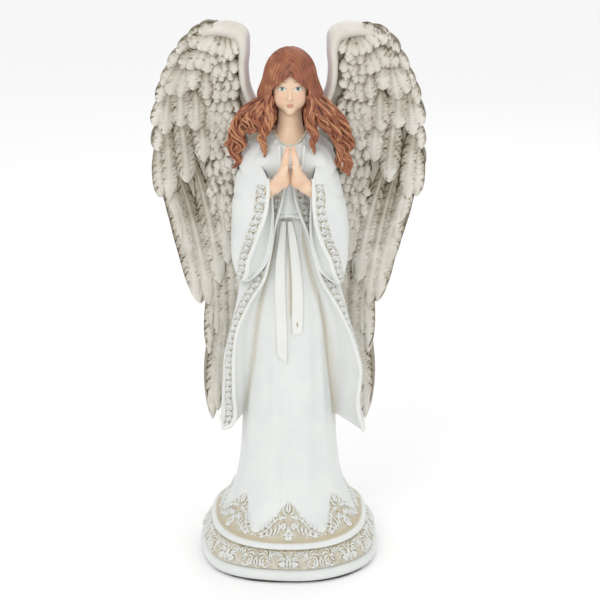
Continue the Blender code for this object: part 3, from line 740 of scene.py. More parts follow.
def gown_sizes(z):
    """Half-width, half-depth and squareness of the gown's outline at this height."""
    z = np.asarray(z, float)
    share = (z - HEM_TOP) / (WAIST - HEM_TOP)
    up = (z - WAIST) / (SHOULDER - WAIST)
    swept = np.exp(-np.clip(share, 0, None) / 0.09)
    wide = eased([(0, 26), (0.36, 26), (0.6, 24), (1, 15)], share) + 17 * swept
    deep = eased([(0, 23), (0.36, 23), (0.6, 21), (1, 12)], share) + 24.5 * swept
    wide = np.where(up > 0, eased([(0, 15), (0.45, 17.5), (0.86, 19), (1, 8.5)], up), wide)
    deep = np.where(up > 0, eased([(0, 12), (0.5, 12.5), (0.8, 10.6), (1, 6.8)], up), deep)
    low = np.clip((HEM_TOP - z) / (HEM_TOP - LIP_TOP), 0, 1)
    wide, deep = wide + 8.5 * low, deep + 8.5 * low
    return wide, deep, 2.5 - 0.5 * step(LIP_TOP, 58.6, z)


def gown_at(angle, z, grow=0.0):
    """Point of the gown's outline; angle runs from the front, towards +X."""
    a, b, n = gown_sizes(z)
    a, b = a + grow, b + grow
    s, c = np.sin(angle), -np.cos(angle)
    r = (np.abs(s / a) ** n + np.abs(c / b) ** n) ** (-1 / n)
    return np.stack(np.broadcast_arrays(r * s, r * c, z), -1)


def folds(angle, z):
    """How far the drapery stands out at this angle and height."""
    p = np.stack([np.sin(angle) * 2.2, np.cos(angle) * 2.2, z / 90], -1)
    warp = angle * 13 + 2.3 * noise(p, 1.0, 2) + 0.8 * np.sin(angle * 3 + 1)
    wave = np.cos(warp)
    soft = 0.5 + 0.5 * wave
    depth = curve([(20, 0.5), (45, 1.1), (90, 0.9), (150, 0.6), (192, 0.5), (200, 0.1), (245, 0.0)], z)
    return depth * (soft**1.4 - 0.45) * (1 + 0.35 * noise(p, 0.6, 7))


def gown():
    """Plain cloth of the gown, from above the relief on the hem to the shoulders."""
    shape = Shape()
    z = np.concatenate(
        [np.linspace(SPRAY_TOP - 3, WAIST - 4, 84), np.linspace(WAIST - 3, SHOULDER - 0.2, 28)]
    )
    angle = np.linspace(-math.pi, math.pi, 168, endpoint=False)
    zz, aa = np.meshgrid(z, angle, indexing="ij")
    front = bump(aa, 0.75)
    gather = 0.35 * front * step(170, 197, zz) * np.cos(aa * 40 + 2 * np.sin(zz / 9)) * (zz < WAIST + 1)
    grow = folds(aa, zz) + gather - 0.8 * bump(zz - WAIST, 1.8)
    bust = 0.9 * bump(zz - 228, 8) * (bump(aa - 0.5, 0.34) + bump(aa + 0.5, 0.34))
    blouse = 3.4 * bump(aa, 0.62) * step(WAIST - 1, WAIST + 4.5, zz) * step(243, 236, zz)
    blouse += 0.25 * front * np.cos(aa * 15 + 0.06 * (zz - 210)) * step(WAIST, 206, zz) * step(228, 214, zz)
    points = gown_at(aa, zz, grow + bust + blouse - 0.7 * step(SPRAY_TOP, SPRAY_TOP - 3, zz))
    # painted shade: darker in the hollows of the folds, under the blouse at the waist, between the hanging
    # ribbons and along the valleys where the robe's lining meets the skirt
    shade = 0.16 * np.clip(0.25 - folds(aa, zz), 0, 1) + 0.55 * bump(zz - WAIST, 1.6) * front
    x = points[..., 0]
    between = bump(x - 1.6 - 0.004 * (zz - 190), 1.5) * step(139, 150, zz) * step(197, 188, zz) * front
    shade += 0.75 * between
    for table in (
        [(40, -75), (80, -70), (110, -60), (140, -52), (166, -45), (200, -28)],
        [(40, 85), (84, 80), (110, 72), (140, 60), (166, 48), (200, 34)],
    ):
        valley = np.interp(zz, [k for k, _ in table], [a for _, a in table])
        shade += 0.62 * bump(np.degrees(aa) - valley, 7) * step(62, 95, zz) * step(204, 190, zz)
    closed_tube(shape, points, wash=shade)
    make("gown_cloth", shape, WHITE, ["skirt", "bodice"], 80)


# --------------------------------------------------------------------------------
# Ornament: strokes in a flat strip, raised as rounded beads
# --------------------------------------------------------------------------------


def stroke(points, widest=1.0, start=0.25, end=0.2, count=16):
    """Samples (u, v, radius) of a swelling stroke through the given points."""
    t = np.linspace(0, 1, count)
    path = spline(points, t)
    radius = widest * curve([(0, start), (0.45, 1.0), (0.75, 0.85), (1, end)], t)
    return np.column_stack([path, radius])


def spiral(u, v, heading, size, turns, widest, hand=1, count=22):
    """A scroll that sets out from (u, v) and winds in; hand is 1 for anticlockwise."""
    t = np.linspace(0, 1, count)
    radius = size * (1 - t) ** 0.8 + 0.12 * size
    turned = math.radians(heading) + hand * (2 * math.pi * turns * t - math.pi / 2)
    centre = np.array([u, v]) - radius[0] * np.array([math.cos(turned[0]), math.sin(turned[0])])
    path = centre + radius[:, None] * np.stack([np.cos(turned), np.sin(turned)], -1)
    thick = widest * curve([(0, 0.45), (0.35, 0.9), (0.8, 0.75), (0.93, 1.25), (1, 0.9)], t)
    return np.column_stack([path, thick])


def mirrored(strokes):
    return [s * np.array([-1, 1, 1]) for s in strokes]


def widened(strokes, factor):
    return [s * np.array([1, 1, factor]) for s in strokes]


def raised(u, v, strokes, period=None):
    """Height from 0 to 1 of the strokes at strip places (u, v)."""
    flat_u, flat_v = np.asarray(u, float).ravel(), np.asarray(v, float).ravel()
    if period:
        flat_u = np.mod(flat_u + period / 2, period) - period / 2
    out = np.zeros_like(flat_u)
    shifts = (-period, 0, period) if period else (0,)
    for samples in strokes:
        for shift in shifts:
            su, sv, r = samples[:, 0] + shift, samples[:, 1], samples[:, 2]
            reach = r.max()
            near = np.flatnonzero(
                (flat_u > su.min() - reach) & (flat_u < su.max() + reach)
                & (flat_v > sv.min() - reach) & (flat_v < sv.max() + reach)
            )
            if len(near) == 0:
                continue
            d = (flat_u[near, None] - su) ** 2 + (flat_v[near, None] - sv) ** 2
            h = np.sqrt(np.clip(1 - d / r**2, 0, 1)) * np.clip(r / (0.75 * reach), 0.35, 1)
            out[near] = np.maximum(out[near], h.max(1))
    return out.reshape(np.shape(u))


def fan(u, v, inner, outer, first, last, count, weight, hand=1):
    """Comma leaves round (u, v), thin at the scroll and rounded at their tips."""
    made = []
    for k in range(count):
        turn = math.radians(first + (last - first) * k / max(1, count - 1))
        places = []
        for r, lag in ((inner, -0.45), (0.5 * (inner + outer), -0.12), (outer, 0.28)):
            places.append((u + r * math.cos(turn + hand * lag), v + r * math.sin(turn + hand * lag)))
        made.append(stroke(places, weight, 0.35, 0.8, 10))
    return made


def scrolls(width, period, weight):
    """Running S-scrolls for a narrow trim: one curl up, one down, leaves between."""
    w, p = width, period
    made = []
    for u0, up in ((-0.25 * p, 1), (0.25 * p, -1)):
        v0 = (0.5 + 0.10 * up) * w
        size = 0.30 * w
        t = np.linspace(0, 1, 34)
        turn = math.radians(-90 * up) + up * 2 * math.pi * 1.35 * t
        r = size * (1 - 0.78 * t)
        made.append(
            np.column_stack([u0 + r * np.cos(turn), v0 + r * np.sin(turn), weight * (1.0 + 0.25 * t)])
        )
        foot = (u0 + r[0] * math.cos(turn[0]), v0 + r[0] * math.sin(turn[0]))
        made.append(
            stroke(
                [
                    foot, (u0 - 0.17 * p, v0 - 0.27 * up * w), (u0 - 0.36 * p, v0 - 0.1 * up * w),
                    (u0 - 0.44 * p, v0 + 0.18 * up * w)
                ],
                weight, 0.9, 0.5, 18
            )
        )
        made.append(
            stroke(
                [
                    (u0 + 0.20 * p, v0 - 0.48 * up * w), (u0 + 0.08 * p, v0 - 0.44 * up * w),
                    (u0 - 0.06 * p, v0 - 0.50 * up * w)
                ],
                weight, 0.5, 0.5, 8
            )
        )
        made.append(
            stroke(
                [
                    (u0 + 0.26 * p, v0 + 0.30 * up * w), (u0 + 0.14 * p, v0 + 0.40 * up * w),
                    (u0 - 0.02 * p, v0 + 0.36 * up * w)
                ],
                weight, 0.5, 0.5, 8
            )
        )
    return made


def palmette(weight):
    """One upright spray of acanthus, 37 wide and 21 high, mirrored about u = 0."""
    half = [
        stroke([(0, 15.2), (1.1, 17.4), (0, 20.6)], weight * 1.2, 0.5, 0.2),
        stroke([(0.9, 14.3), (3.0, 15.2), (3.9, 18.0)], weight * 1.1, 0.4, 0.6),
        stroke([(1.2, 12.8), (4.8, 12.4), (6.9, 15.0)], weight * 1.1, 0.4, 0.7),
        spiral(1.0, 8.6, 60, 1.7, 1.2, weight, -1),
        stroke([(0.8, 7.6), (0.4, 5.4), (2.2, 3.0)], weight, 0.5, 0.5),
        spiral(2.4, 2.2, 110, 1.9, 1.2, weight, 1),
        stroke([(4.4, 11.4), (8.0, 11.2), (10.6, 7.4), (13.6, 3.6), (17.6, 1.8)], weight, 0.6, 0.5, 24),
    ]
    for k in range(5):
        t = k / 4
        u0, v0 = 6.2 + 8.4 * t, 9.9 - 6.6 * t
        half.append(
            stroke(
                [(u0, v0), (u0 - 1.2, v0 - 2.8 + 1.2 * t), (u0 - 0.3, v0 - 6.0 + 4.2 * t)], weight, 0.4, 0.8
            )
        )
        if k < 4:
            half.append(
                stroke(
                    [(u0 + 0.8, v0 + 0.2), (u0 + 2.6, v0 + 0.4), (u0 + 3.6, v0 + 2.2)], weight * 0.9, 0.4,
                    0.7
                )
            )
    return half + mirrored(half)


def frieze(weight, height):
    """The band's centre piece: hearts and fans of leaves either side of a stem."""
    h = height
    half = [
        stroke([(0.1, 0.08 * h), (0.9, 0.34 * h), (0.5, 0.6 * h), (2.0, 0.9 * h)], weight * 1.1, 0.5, 0.8),
        spiral(1.2, 0.3 * h, 80, 0.14 * h, 1.1, weight, -1),
        spiral(4.6, 0.12 * h, 10, 0.22 * h, 1.3, weight, 1),
        stroke([(9.5, 0.5 * h), (12.4, 0.12 * h), (15.2, 0.3 * h), (18.4, 0.92 * h)], weight, 0.6, 0.6, 20),
        stroke([(18.5, 0.1 * h), (17.7, 0.35 * h), (18.5, 0.62 * h)], weight * 1.1, 0.4, 0.4),
    ]
    half += fan(7.4, 0.42 * h, 2.9, 5.6, 150, 10, 6, weight, 1)
    half += fan(12.6, 0.62 * h, 1.6, 4.4, 120, -60, 5, weight, -1)
    half += [
        stroke([(3.4, 0.1 * h), (2.6, 0.3 * h), (3.2, 0.5 * h)], weight, 0.4, 0.7),
        stroke([(15.0, 0.12 * h), (16.2, 0.3 * h), (15.9, 0.55 * h)], weight, 0.4, 0.7)
    ]
    return half + mirrored(half)


def base():
    """Lip, frieze, hem band and the sprays above it."""
    shape = Shape()
    columns = 640
    angle = np.linspace(-math.pi, math.pi, columns, endpoint=False)
    ring = gown_at(angle, np.full(columns, 17.0))
    gaps = np.linalg.norm(np.roll(ring, -1, 0) - ring, axis=1)
    along = np.concatenate([[0], np.cumsum(gaps)[:-1]])
    along -= along[columns // 2]
    girth = gaps.sum()

    lip = [
        (1.3, -3.2), (1.3, -1.6), (2.2, -0.5), (3.6, 0.1), (5.2, 0.3), (7.0, 0.1), (8.6, -0.5), (9.8, -1.3),
        (10.6, -2.3), (11.0, -3.2), (11.1, -3.9)
    ]
    lip_z = np.array([z for z, _ in lip])
    lip_z = 1.3 + (lip_z - 1.3) * 0.68
    band_z = np.linspace(8.3, 20.9, 34)
    hem_z = np.linspace(21.2, 25.4, 10)
    spray_z = np.linspace(25.7, 47.5, 48)
    z = np.concatenate([lip_z, band_z, hem_z, spray_z])
    zz, aa = np.meshgrid(z, angle, indexing="ij")
    uu = np.broadcast_to(along, zz.shape)
    wavy = 0.5 * np.sin(aa * 7 + 0.6) * step(30, 5, zz)
    dip = (1.9 + 0.9 * np.cos(2 * aa)) * np.interp(zz, [8.3, 20.9, 36, 46], [0, 1, 1, 0])
    grow = np.zeros_like(zz)
    grow[: len(lip)] = np.array([g for _, g in lip])[:, None]
    wash = np.zeros_like(zz)
    wash += 0.75 * bump(zz - 8.1, 0.35) + 0.12 * bump(zz - 1.5, 0.8)

    in_band = slice(len(lip), len(lip) + len(band_z))
    up = (zz[in_band] - 8.3) * 11.5 / 12.6
    period = girth / round(girth / MOTIF)
    scaled = (np.mod(uu[in_band] + period / 2, period) - period / 2) * MOTIF / period
    h = raised(scaled, up, frieze(0.6, 11.4))
    outlined = raised(scaled, up, widened(frieze(0.6, 11.4), 1.5))
    edge = step(0, 0.6, up) * step(11.5, 10.6, up)
    grow[in_band] = -1.7 + 1.15 * h * edge + 0.1 * noise(np.stack([uu[in_band], up, up * 0], -1), 0.9, 4)
    wash[in_band] = 0.66 + 0.42 * step(0.02, 0.4, outlined) * edge - 1.0 * step(0.12, 0.6, h) * edge
    wash[in_band] += (
        0.35 * step(19.4, 20.9, zz[in_band]) + 0.14 * noise(np.stack([uu[in_band], up, up * 0], -1), 2.6, 9)
    )

    in_hem = slice(in_band.stop, in_band.stop + len(hem_z))
    t = np.clip((zz[in_hem] - 21.2) / 3.1, 0, 1)
    grow[in_hem] = -0.6 + 1.7 * np.sqrt(np.clip(1 - (2 * t - 1) ** 2, 0, 1))
    wash[in_hem] = 0.9 * (bump(t, 0.10) + bump(t - 1, 0.10))

    in_spray = slice(in_hem.stop, len(z))
    ring_top = gown_at(angle, np.full(columns, 30.0))
    gaps_top = np.linalg.norm(np.roll(ring_top, -1, 0) - ring_top, axis=1)
    top_along = np.concatenate([[0], np.cumsum(gaps_top)[:-1]])
    top_along -= top_along[columns // 2]
    sprays = 7
    pitch = gaps_top.sum() / sprays
    su = (np.mod(top_along + pitch / 2, pitch) - pitch / 2) * MOTIF / pitch
    su = np.broadcast_to(su, zz[in_spray].shape)
    sv = (zz[in_spray] - 25.2) * 1.32
    h = raised(su, sv, palmette(0.66))
    outlined = raised(su, sv, widened(palmette(0.66), 1.5))
    outline = eased([(0, 20.5), (4.5, 17.5), (8, 12.5), (13, 6.6), (17.2, 3.2), (19.2, 2.6)], np.abs(su))
    inside = step(0.9, -0.4, sv - outline)
    grow[in_spray] = (
        -0.35 * step(45, 39, zz[in_spray]) - 0.45 * inside + 1.35 * h
        + folds(aa[in_spray], (zz - dip)[in_spray]) * step(26, 40, zz[in_spray])
    )
    grow[in_spray] -= 0.7 * step(44.0, 47.5, zz[in_spray])
    wash[in_spray] = (
        0.64 * inside + 0.48 * step(0.02, 0.4, outlined) - 1.1 * step(0.12, 0.6, h) + 0.3 * bump(sv, 1.0)
    )
    wash[in_spray] += 0.12 * inside * noise(np.stack([su, sv, su * 0], -1), 2.4, 8)

    closed_tube(shape, gown_at(aa, zz - dip, grow + wavy), wash=wash)
    make("base_ornament", shape, RELIEF, ["base_hem", "skirt"], 60)


def felt():
    """Thin felt pad under the base."""
    angle = np.linspace(-math.pi, math.pi, 160, endpoint=False)
    zz, aa = np.meshgrid(np.array([0.02, 0.02, 0.5, 1.1, 1.35]), angle, indexing="ij")
    inset = (
        np.array([-6.0, -2.2, -1.7, -1.7, -2.2])[:, None]
        + 0.15 * noise(np.stack([aa * 20, zz, zz], -1), 1.0, 3)
    )
    ring = gown_at(aa, np.full(zz.shape, 8.0), inset)
    ring[..., 2] = zz
    shape = Shape()
    closed_tube(shape, ring)
    p = Paint("felt", 0.95)
    p.shader.inputs["Sheen Weight"].default_value = 0.3
    fibres = p.noise(2600.0, 4.0, 0.7)
    colour = p.mix(p.range(fibres, 0.3, 0.7), srgb(58, 56, 52), srgb(86, 84, 78))
    make("felt_cloth", shape, p.finish(colour, fibres, 0.0003), ["felt_pad"])


gown()
base()
felt()


# --------------------------------------------------------------------------------
# Over-robe, sleeves and sash
# --------------------------------------------------------------------------------

# Front edges of the robe: (height, outwards, forwards)
EDGE_RIGHT = [
    (72, 35.8, -13), (76, 35.0, -14.5), (83, 31.0, -15.5), (100, 30.9, -16.5), (122, 30.6, -17.5),
    (137, 28.6, -18.5), (148.5, 24.1, -19), (159, 18.6, -19.2), (166, 14.0, -18.6), (178, 10.8, -17.8),
    (199, 7.0, -17.4), (206, 5.0, -17.8), (214, 3.0, -17.8), (221, 2.0, -17.6), (229, 3.6, -20.0),
    (237, 4.4, -18.0), (242, 4.8, -14.6), (245, 5.0, -10.5)
]
EDGE_LEFT = [
    (72, 43.5, -12), (76.3, 42.9, -13), (84, 40.5, -15), (95, 39.2, -16.5), (112, 40.6, -17.5),
    (125, 38.0, -18.5), (140, 33.0, -19), (154, 26.0, -19.4), (166, 19.0, -19), (178, 15.0, -17.8),
    (195, 10.4, -17.4), (203, 7.2, -17.7), (214, 3.8, -17.8), (221, 3.4, -17.6), (229, 6.8, -19.9),
    (237, 8.3, -17.6), (242, 8.8, -14.4), (245, 9.0, -10.5)
]
# Widest part at the side: (height, outwards, forwards)
SIDE_RIGHT = [
    (72, 37.0, -4), (83, 38.0, -5), (107, 36.2, -6), (119, 35.6, -6), (137, 31.5, -7), (150, 29.0, -6),
    (165, 27.0, -4), (200, 19.5, 0), (225, 22.0, 0), (238, 19.0, 0), (245, 11.5, 0)
]
SIDE_LEFT = [
    (72, 41.5, -4), (95, 38.0, -5), (112, 39.0, -6), (125, 36.5, -7), (140, 33.0, -7), (154, 30.5, -6),
    (165, 28.0, -4), (200, 19.5, 0), (225, 22.0, 0), (238, 19.0, 0), (245, 11.5, 0)
]


def robe_row(s, z):
    """Points of the robe's outer face; s runs from the right edge round the back to the left one."""
    def place(table, side):
        held = curve(table, z)
        return np.stack([side * held[..., 0], held[..., 1]], -1)

    knots = [place(EDGE_RIGHT, -1)]
    edge, wide = knots[0], place(SIDE_RIGHT, -1)
    knots += [edge + (wide - edge) * 0.55 + np.array([-2.2, -2.0]), wide]
    knots += [
        gown_at(np.full(z.shape, math.radians(a)), z, 4.2)[..., :2] for a in (-125, -155, 180, 155, 125)
    ]
    edge, wide = place(EDGE_LEFT, 1), place(SIDE_LEFT, 1)
    knots += [wide, edge + (wide - edge) * 0.55 + np.array([2.0, -1.5]), edge]
    return through(np.stack(knots), s, z)


def robe_hem(s):
    """Height of the robe's lower edge: two points at the front, level behind."""
    right = 8.5 * bump(s - 0.06, 0.07) + 1.0 * bump(s, 0.02)
    left = 9.5 * bump(s - 1.0, 0.07)
    return 84.5 - right - left + 1.2 * np.sin(s * 21)


def surface_normals(grid):
    """Unit normals of a grid of points."""
    return unit(np.cross(np.gradient(grid, axis=1), np.gradient(grid, axis=0)))


def trimmed(grid, from_edge, along_edge, band, pattern, period, outward, extra=0.0):
    """Points and wash of a sheet with an ornamented band, band[0] to band[1] in from its edge."""
    v = from_edge - band[0]
    width = band[1] - band[0]
    h = raised(along_edge, v, pattern, period)
    outlined = raised(along_edge, v, widened(pattern, 1.55), period)
    inside = step(0, 0.5, v) * step(width, width - 0.5, v)
    rims = bump(v, 0.55) + bump(v - width, 0.5)
    lift = inside * (-0.6 + 1.1 * h) + 0.25 * rims
    points = grid + outward * (lift + extra)[..., None]
    wash = (
        inside * (0.5 + 0.85 * step(0.0, 0.3, outlined) - 1.3 * step(0.12, 0.5, h))
        + 0.5 * (bump(v + 0.2, 0.4) + bump(v - width - 0.1, 0.4))
    )
    return points, wash


def robe():
    """Over-robe: outer face with its trim, lining back to the gown, and rolled edges."""
    shape = Shape()
    dense = np.linspace(0, 0.135, 34)
    s = np.concatenate([dense, np.linspace(0.135, 0.865, 34)[1:-1], 1 - dense[::-1]])
    r = np.linspace(0, 1, 400) ** 0.95
    rr, ss = np.meshgrid(r, s, indexing="ij")
    low = robe_hem(ss)
    zz = low + (242.0 - low) * rr
    grid = robe_row(ss, zz)
    normal = surface_normals(grid)
    centre = np.stack([grid[..., 0] * 0, grid[..., 1] * 0 + 2, grid[..., 2]], -1)
    normal *= np.sign(np.sum(normal * (grid - centre), -1, keepdims=True))
    across = np.linalg.norm(np.diff(grid, axis=1), axis=-1)
    from_left = np.concatenate([np.zeros((len(r), 1)), np.cumsum(across, 1)], 1)
    from_edge = np.minimum(from_left, from_left[:, -1:] - from_left)
    along = zz * 1.06
    back = step(12, 26, from_edge)
    drape = 1.5 * back * np.cos(ss * 46 + 1.6 * noise(grid, 45, 3)) * step(205, 110, zz)
    drape += 0.5 * back * noise(grid, 16, 5)
    worn = from_edge + 60 * step(224, 230, zz)
    points, wash = trimmed(grid, worn, along, (1.6, 7.6), scrolls(6.0, 7.8, 0.48), 7.8, normal, drape)
    # painted shade in the hollows of the drape at the back
    wash = wash + 0.22 * back * np.clip(0.1 - drape, 0, 1)
    shape.sheet(points, wash=wash)

    # lining: from each front edge in to the skirt
    for side, table, at in ((-1, EDGE_RIGHT, 0.0), (1, EDGE_LEFT, 1.0)):
        z_low = robe_hem(np.array([at]))[0]
        t = np.linspace(0, 1, 110)
        across = np.linspace(0, 1, 26)
        tt, cc = np.meshgrid(t, across, indexing="ij")
        z = (z_low + 6.5 * step(0, 0.9, cc)) * (1 - tt) + 243 * tt
        edge = curve(table, z)
        if side < 0:
            inner_angle = np.interp(z, [80, 100, 130, 150, 170, 205, 243], [80, 66, 58, 54, 48, 30, 40])
        else:
            inner_angle = np.interp(z, [80, 100, 118, 140, 168, 205, 243], [84, 78, 73, 64, 53, 36, 46])
        inner = gown_at(side * np.radians(inner_angle), z, -1.6)
        start = np.stack([side * (edge[..., 0] - 0.6), edge[..., 1] + 0.4, z], -1)
        blend = cc[..., None]
        sag = np.sin(cc * math.pi) * np.interp(z, [80, 120, 165, 200], [2.4, 1.8, 0.6, 0.1])
        lining = start * (1 - blend) + inner * blend
        lining[..., 1] += sag + 0.5 * np.sin(cc * 9 + z / 14) * step(175, 150, z)
        # painted shade on the lining, deepening towards the skirt, with a thin line of it by the front edge
        shape.sheet(lining, flip=side > 0, wash=0.55 * step(0.25, 0.95, cc) + 0.12 * bump(cc, 0.1))
    make("robe_cloth", shape, WHITE, ["robe"], 70)

    rim = Shape()
    for side, table, at in ((-1, EDGE_RIGHT, 0.0), (1, EDGE_LEFT, 1.0)):
        s_hem = np.linspace(0.16, 0.0, 40) if side < 0 else np.linspace(0.84, 1.0, 40)
        hem = robe_row(s_hem[None], robe_hem(s_hem)[None])[0]
        z = np.linspace(robe_hem(np.array([at]))[0], 242.0, 150)[1:]
        edge = curve(table, z)
        front = np.stack([side * edge[:, 0], edge[:, 1], z], -1)
        path = smoothed(np.vstack([hem, front]), 3)
        wobble = 0.12 * noise(path, 9, 2)
        thick = np.interp(path[:, 2], [80, 130, 165, 240], [1.25, 1.05, 0.9, 0.8]) + wobble
        rings = sweep(path, np.tile([0, 1.0, 0], (len(path), 1)), thick, thick, 12)
        # painted shade on the half of the rolled edge turned back towards the cloth
        closed_tube(
            rim, rings,
            wash=0.05 + 0.25 * np.clip(
                np.cos(np.arange(12) / 12 * 2 * math.pi), 0, 1
            )[None] * np.ones((len(path), 1))
        )
    make("robe_rim", rim, SASH, [], 80)


# Sleeves, by height: edge A and edge B of the mouth and the widest outer part
SLEEVE_RIGHT = [
    (166.5, 25.5, -17.5, 22.5, -15.5, 28.0, -11.5), (169, 23.9, -21.0, 20.0, -18.0, 29.4, -8.5),
    (173.5, 22.6, -23.5, 15.2, -18.8, 31.2, -6.0), (180.5, 21.6, -25.2, 11.0, -19.2, 32.3, -5),
    (187, 19.2, -26.4, 9.4, -19.6, 32.2, -5), (196, 16.0, -27.2, 8.6, -20.0, 31.5, -5),
    (206, 12.5, -27.8, 8.2, -20.6, 31.2, -4.6), (214, 11.1, -28.0, 8.6, -21.5, 30.4, -4.4),
    (221, 10.6, -27.6, 8.2, -22.6, 29.2, -4), (225, 10.6, -26.8, 9.6, -23.6, 28.4, -4),
    (228, 12.0, -23.5, 11.0, -21.5, 28.0, -4), (232, 14.8, -17.5, 13.6, -15.5, 27.2, -3.4),
    (236, 15.8, -13.0, 14.4, -11.0, 25.6, -2.6), (240, 15.0, -10.0, 13.6, -8.4, 22.6, -1.6),
    (243, 13.4, -7.2, 12.4, -6.2, 18.4, -0.6), (244.4, 12.6, -4.6, 12.0, -4.0, 15.0, 0),
]
SLEEVE_LEFT = [
    (165, 28.6, -17.5, 26.0, -15.5, 30.4, -11.5), (167.5, 27.0, -20.5, 24.0, -17.8, 31.2, -8.5),
    (171.5, 25.4, -23.2, 19.0, -18.6, 32.6, -6.0), (180.5, 22.9, -25.2, 14.8, -19.2, 33.9, -5),
    (189, 18.9, -26.4, 12.8, -19.6, 33.9, -5), (200, 15.4, -27.2, 12.2, -20.0, 33.0, -4.8),
    (211, 14.0, -27.8, 12.6, -20.8, 31.2, -4.4), (218, 13.8, -28.0, 12.0, -22.0, 29.4, -4.2),
    (222.5, 13.7, -27.4, 12.4, -23.0, 28.2, -4), (226, 13.6, -25.8, 12.8, -23.4, 27.6, -4),
    (229, 14.4, -22.5, 13.6, -20.8, 27.4, -4), (232.5, 15.4, -17.0, 14.2, -15.0, 26.8, -3.4),
    (236, 16.2, -13.0, 14.8, -11.0, 25.4, -2.6), (240, 15.4, -10.0, 14.0, -8.4, 22.6, -1.6),
    (243, 13.6, -7.2, 12.6, -6.2, 18.4, -0.6), (244.4, 12.8, -4.6, 12.2, -4.0, 15.0, 0),
]


def sleeve_slice(table, c, z):
    """Point c of 1 along the level slice at z, from mouth edge A round the outside to edge B."""
    held = curve(table, z)
    ax, ay, bx, by, wx, wy = (held[..., k] for k in range(6))
    closing = step(table[3][0], table[0][0], z)
    top = step(226, 244, z)
    back_x = 0.72 * wx + 0.28 * bx
    knots = np.stack([
        np.stack([ax, ay], -1),
        np.stack([0.62 * ax + 0.38 * wx + 0.6, 0.72 * ay + 0.28 * wy - 0.8], -1),
        np.stack([0.18 * ax + 0.82 * wx + 0.2, 0.38 * ay + 0.62 * wy - 0.6], -1),
        np.stack([wx, wy], -1),
        np.stack([back_x, wy + (9.5 - 4.5 * top) * (1 - 0.85 * closing)], -1),
        np.stack([0.45 * wx + 0.55 * bx, 0.35 * wy + (3.5 - 2.0 * top) * (1 - closing) - 1.5 * closing], -1),
        np.stack([0.22 * wx + 0.78 * bx, 0.55 * by + 0.45 * wy], -1),
        np.stack([bx, by], -1),
    ])
    return through(knots, c, z)


def sleeve(side):
    """Wide sleeve: outer face with its trim, lining of the mouth, and rolled edge."""
    table = SLEEVE_LEFT if side > 0 else SLEEVE_RIGHT
    shape, rim = Shape(), Shape()
    bottom, top = table[0][0], table[-1][0]
    c = np.concatenate([np.linspace(0, 0.30, 30), np.linspace(0.30, 1, 28)[1:]])
    z = bottom + (top - bottom) * np.linspace(0, 1, 270)
    zz, cc = np.meshgrid(z, c, indexing="ij")
    grid = sleeve_slice(table, cc, zz)
    across = np.linalg.norm(np.diff(grid, axis=1), axis=-1)
    from_edge = np.concatenate([np.zeros((len(z), 1)), np.cumsum(across, 1)], 1)
    edge_run = np.concatenate([[0], np.cumsum(np.linalg.norm(np.diff(grid[:, 0], axis=0), axis=-1))])
    along = np.broadcast_to(edge_run[:, None], zz.shape)
    normal = surface_normals(grid)
    middle = grid.mean(1, keepdims=True)
    normal *= np.sign(np.sum(normal * (grid - middle), -1, keepdims=True))
    crease = -1.5 * bump(zz - 222 - 0.12 * (grid[..., 0] - 20) * 6, 1.6) * bump(cc - 0.42, 0.14)
    crease += -0.9 * bump(zz - 217 + 0.5 * (grid[..., 0] - 22), 1.4) * bump(cc - 0.36, 0.10)
    hang = 0.8 * np.sin(cc * 24 + zz / 22) * step(215, 185, zz) * step(0.30, 0.42, cc) * step(1, 0.7, cc)
    open_part = step(227, 222, zz)
    band, wash = trimmed(
        grid, from_edge + 60 * (1 - open_part), along, (1.7, 8.2), scrolls(6.5, 8.4, 0.5), 8.4, normal,
        crease + hang
    )
    # painted shade in the creases
    wash = wash + 0.45 * np.clip(-crease, 0, 1)
    band[..., 0] *= side
    shape.sheet(band, flip=side < 0, wash=wash)

    low = np.linspace(bottom + 0.3, 226.5, 50)
    zz, cc = np.meshgrid(low, np.linspace(0, 1, 18), indexing="ij")
    held = curve(table, zz)
    x = held[..., 0] + (held[..., 2] - held[..., 0]) * cc
    y = held[..., 1] + (held[..., 3] - held[..., 1]) * cc
    deep = np.interp(zz, [bottom, bottom + 5, bottom + 16, 205, 222], [0.2, 1.6, 3.4, 4.6, 4.0])
    y = (
        y + deep * np.sin(np.clip(cc * 1.25, 0, 1) * math.pi) ** 0.8
        - 1.1 * bump(cc - 0.9, 0.12) * step(222, 200, zz)
    )
    lining = np.stack([x * side, y, zz], -1)
    # painted shade on the lining of the mouth, deepest behind edge A, with a thin line of it at edge B
    shape.sheet(lining, flip=side > 0, wash=0.42 * bump(cc - 0.06, 0.12) + 0.22 * bump(cc - 1.0, 0.05))
    name = "sleeve_left" if side > 0 else "sleeve_right"
    make(name + "_cloth", shape, WHITE, [name], 75)

    heights = np.linspace(226, bottom + 0.4, 60)
    held = curve(table, heights)
    a = np.stack([held[:, 0], held[:, 1], heights], -1)
    b = np.stack([held[:, 2], held[:, 3], heights], -1)[::-1]
    path = smoothed(np.vstack([a, [0.5 * (a[-1] + b[0]) + np.array([0, 0, -0.6])], b]), 4)
    path[:, 0] *= side
    run = np.linspace(0, 1, len(path))
    thick = np.interp(run, [0, 0.4, 0.5, 0.62, 1], [0.95, 1.15, 1.3, 0.7, 0.45]) + 0.08 * noise(path, 8, 4)
    rings = sweep(path, np.tile([0, 1.0, 0], (len(path), 1)), thick, 1.05 * thick, 14)
    closed_tube(rim, rings, flip=side < 0, wash=0.06 * np.ones(rings.shape[:2]))
    make(name + "_rim", rim, SASH, [], 80)


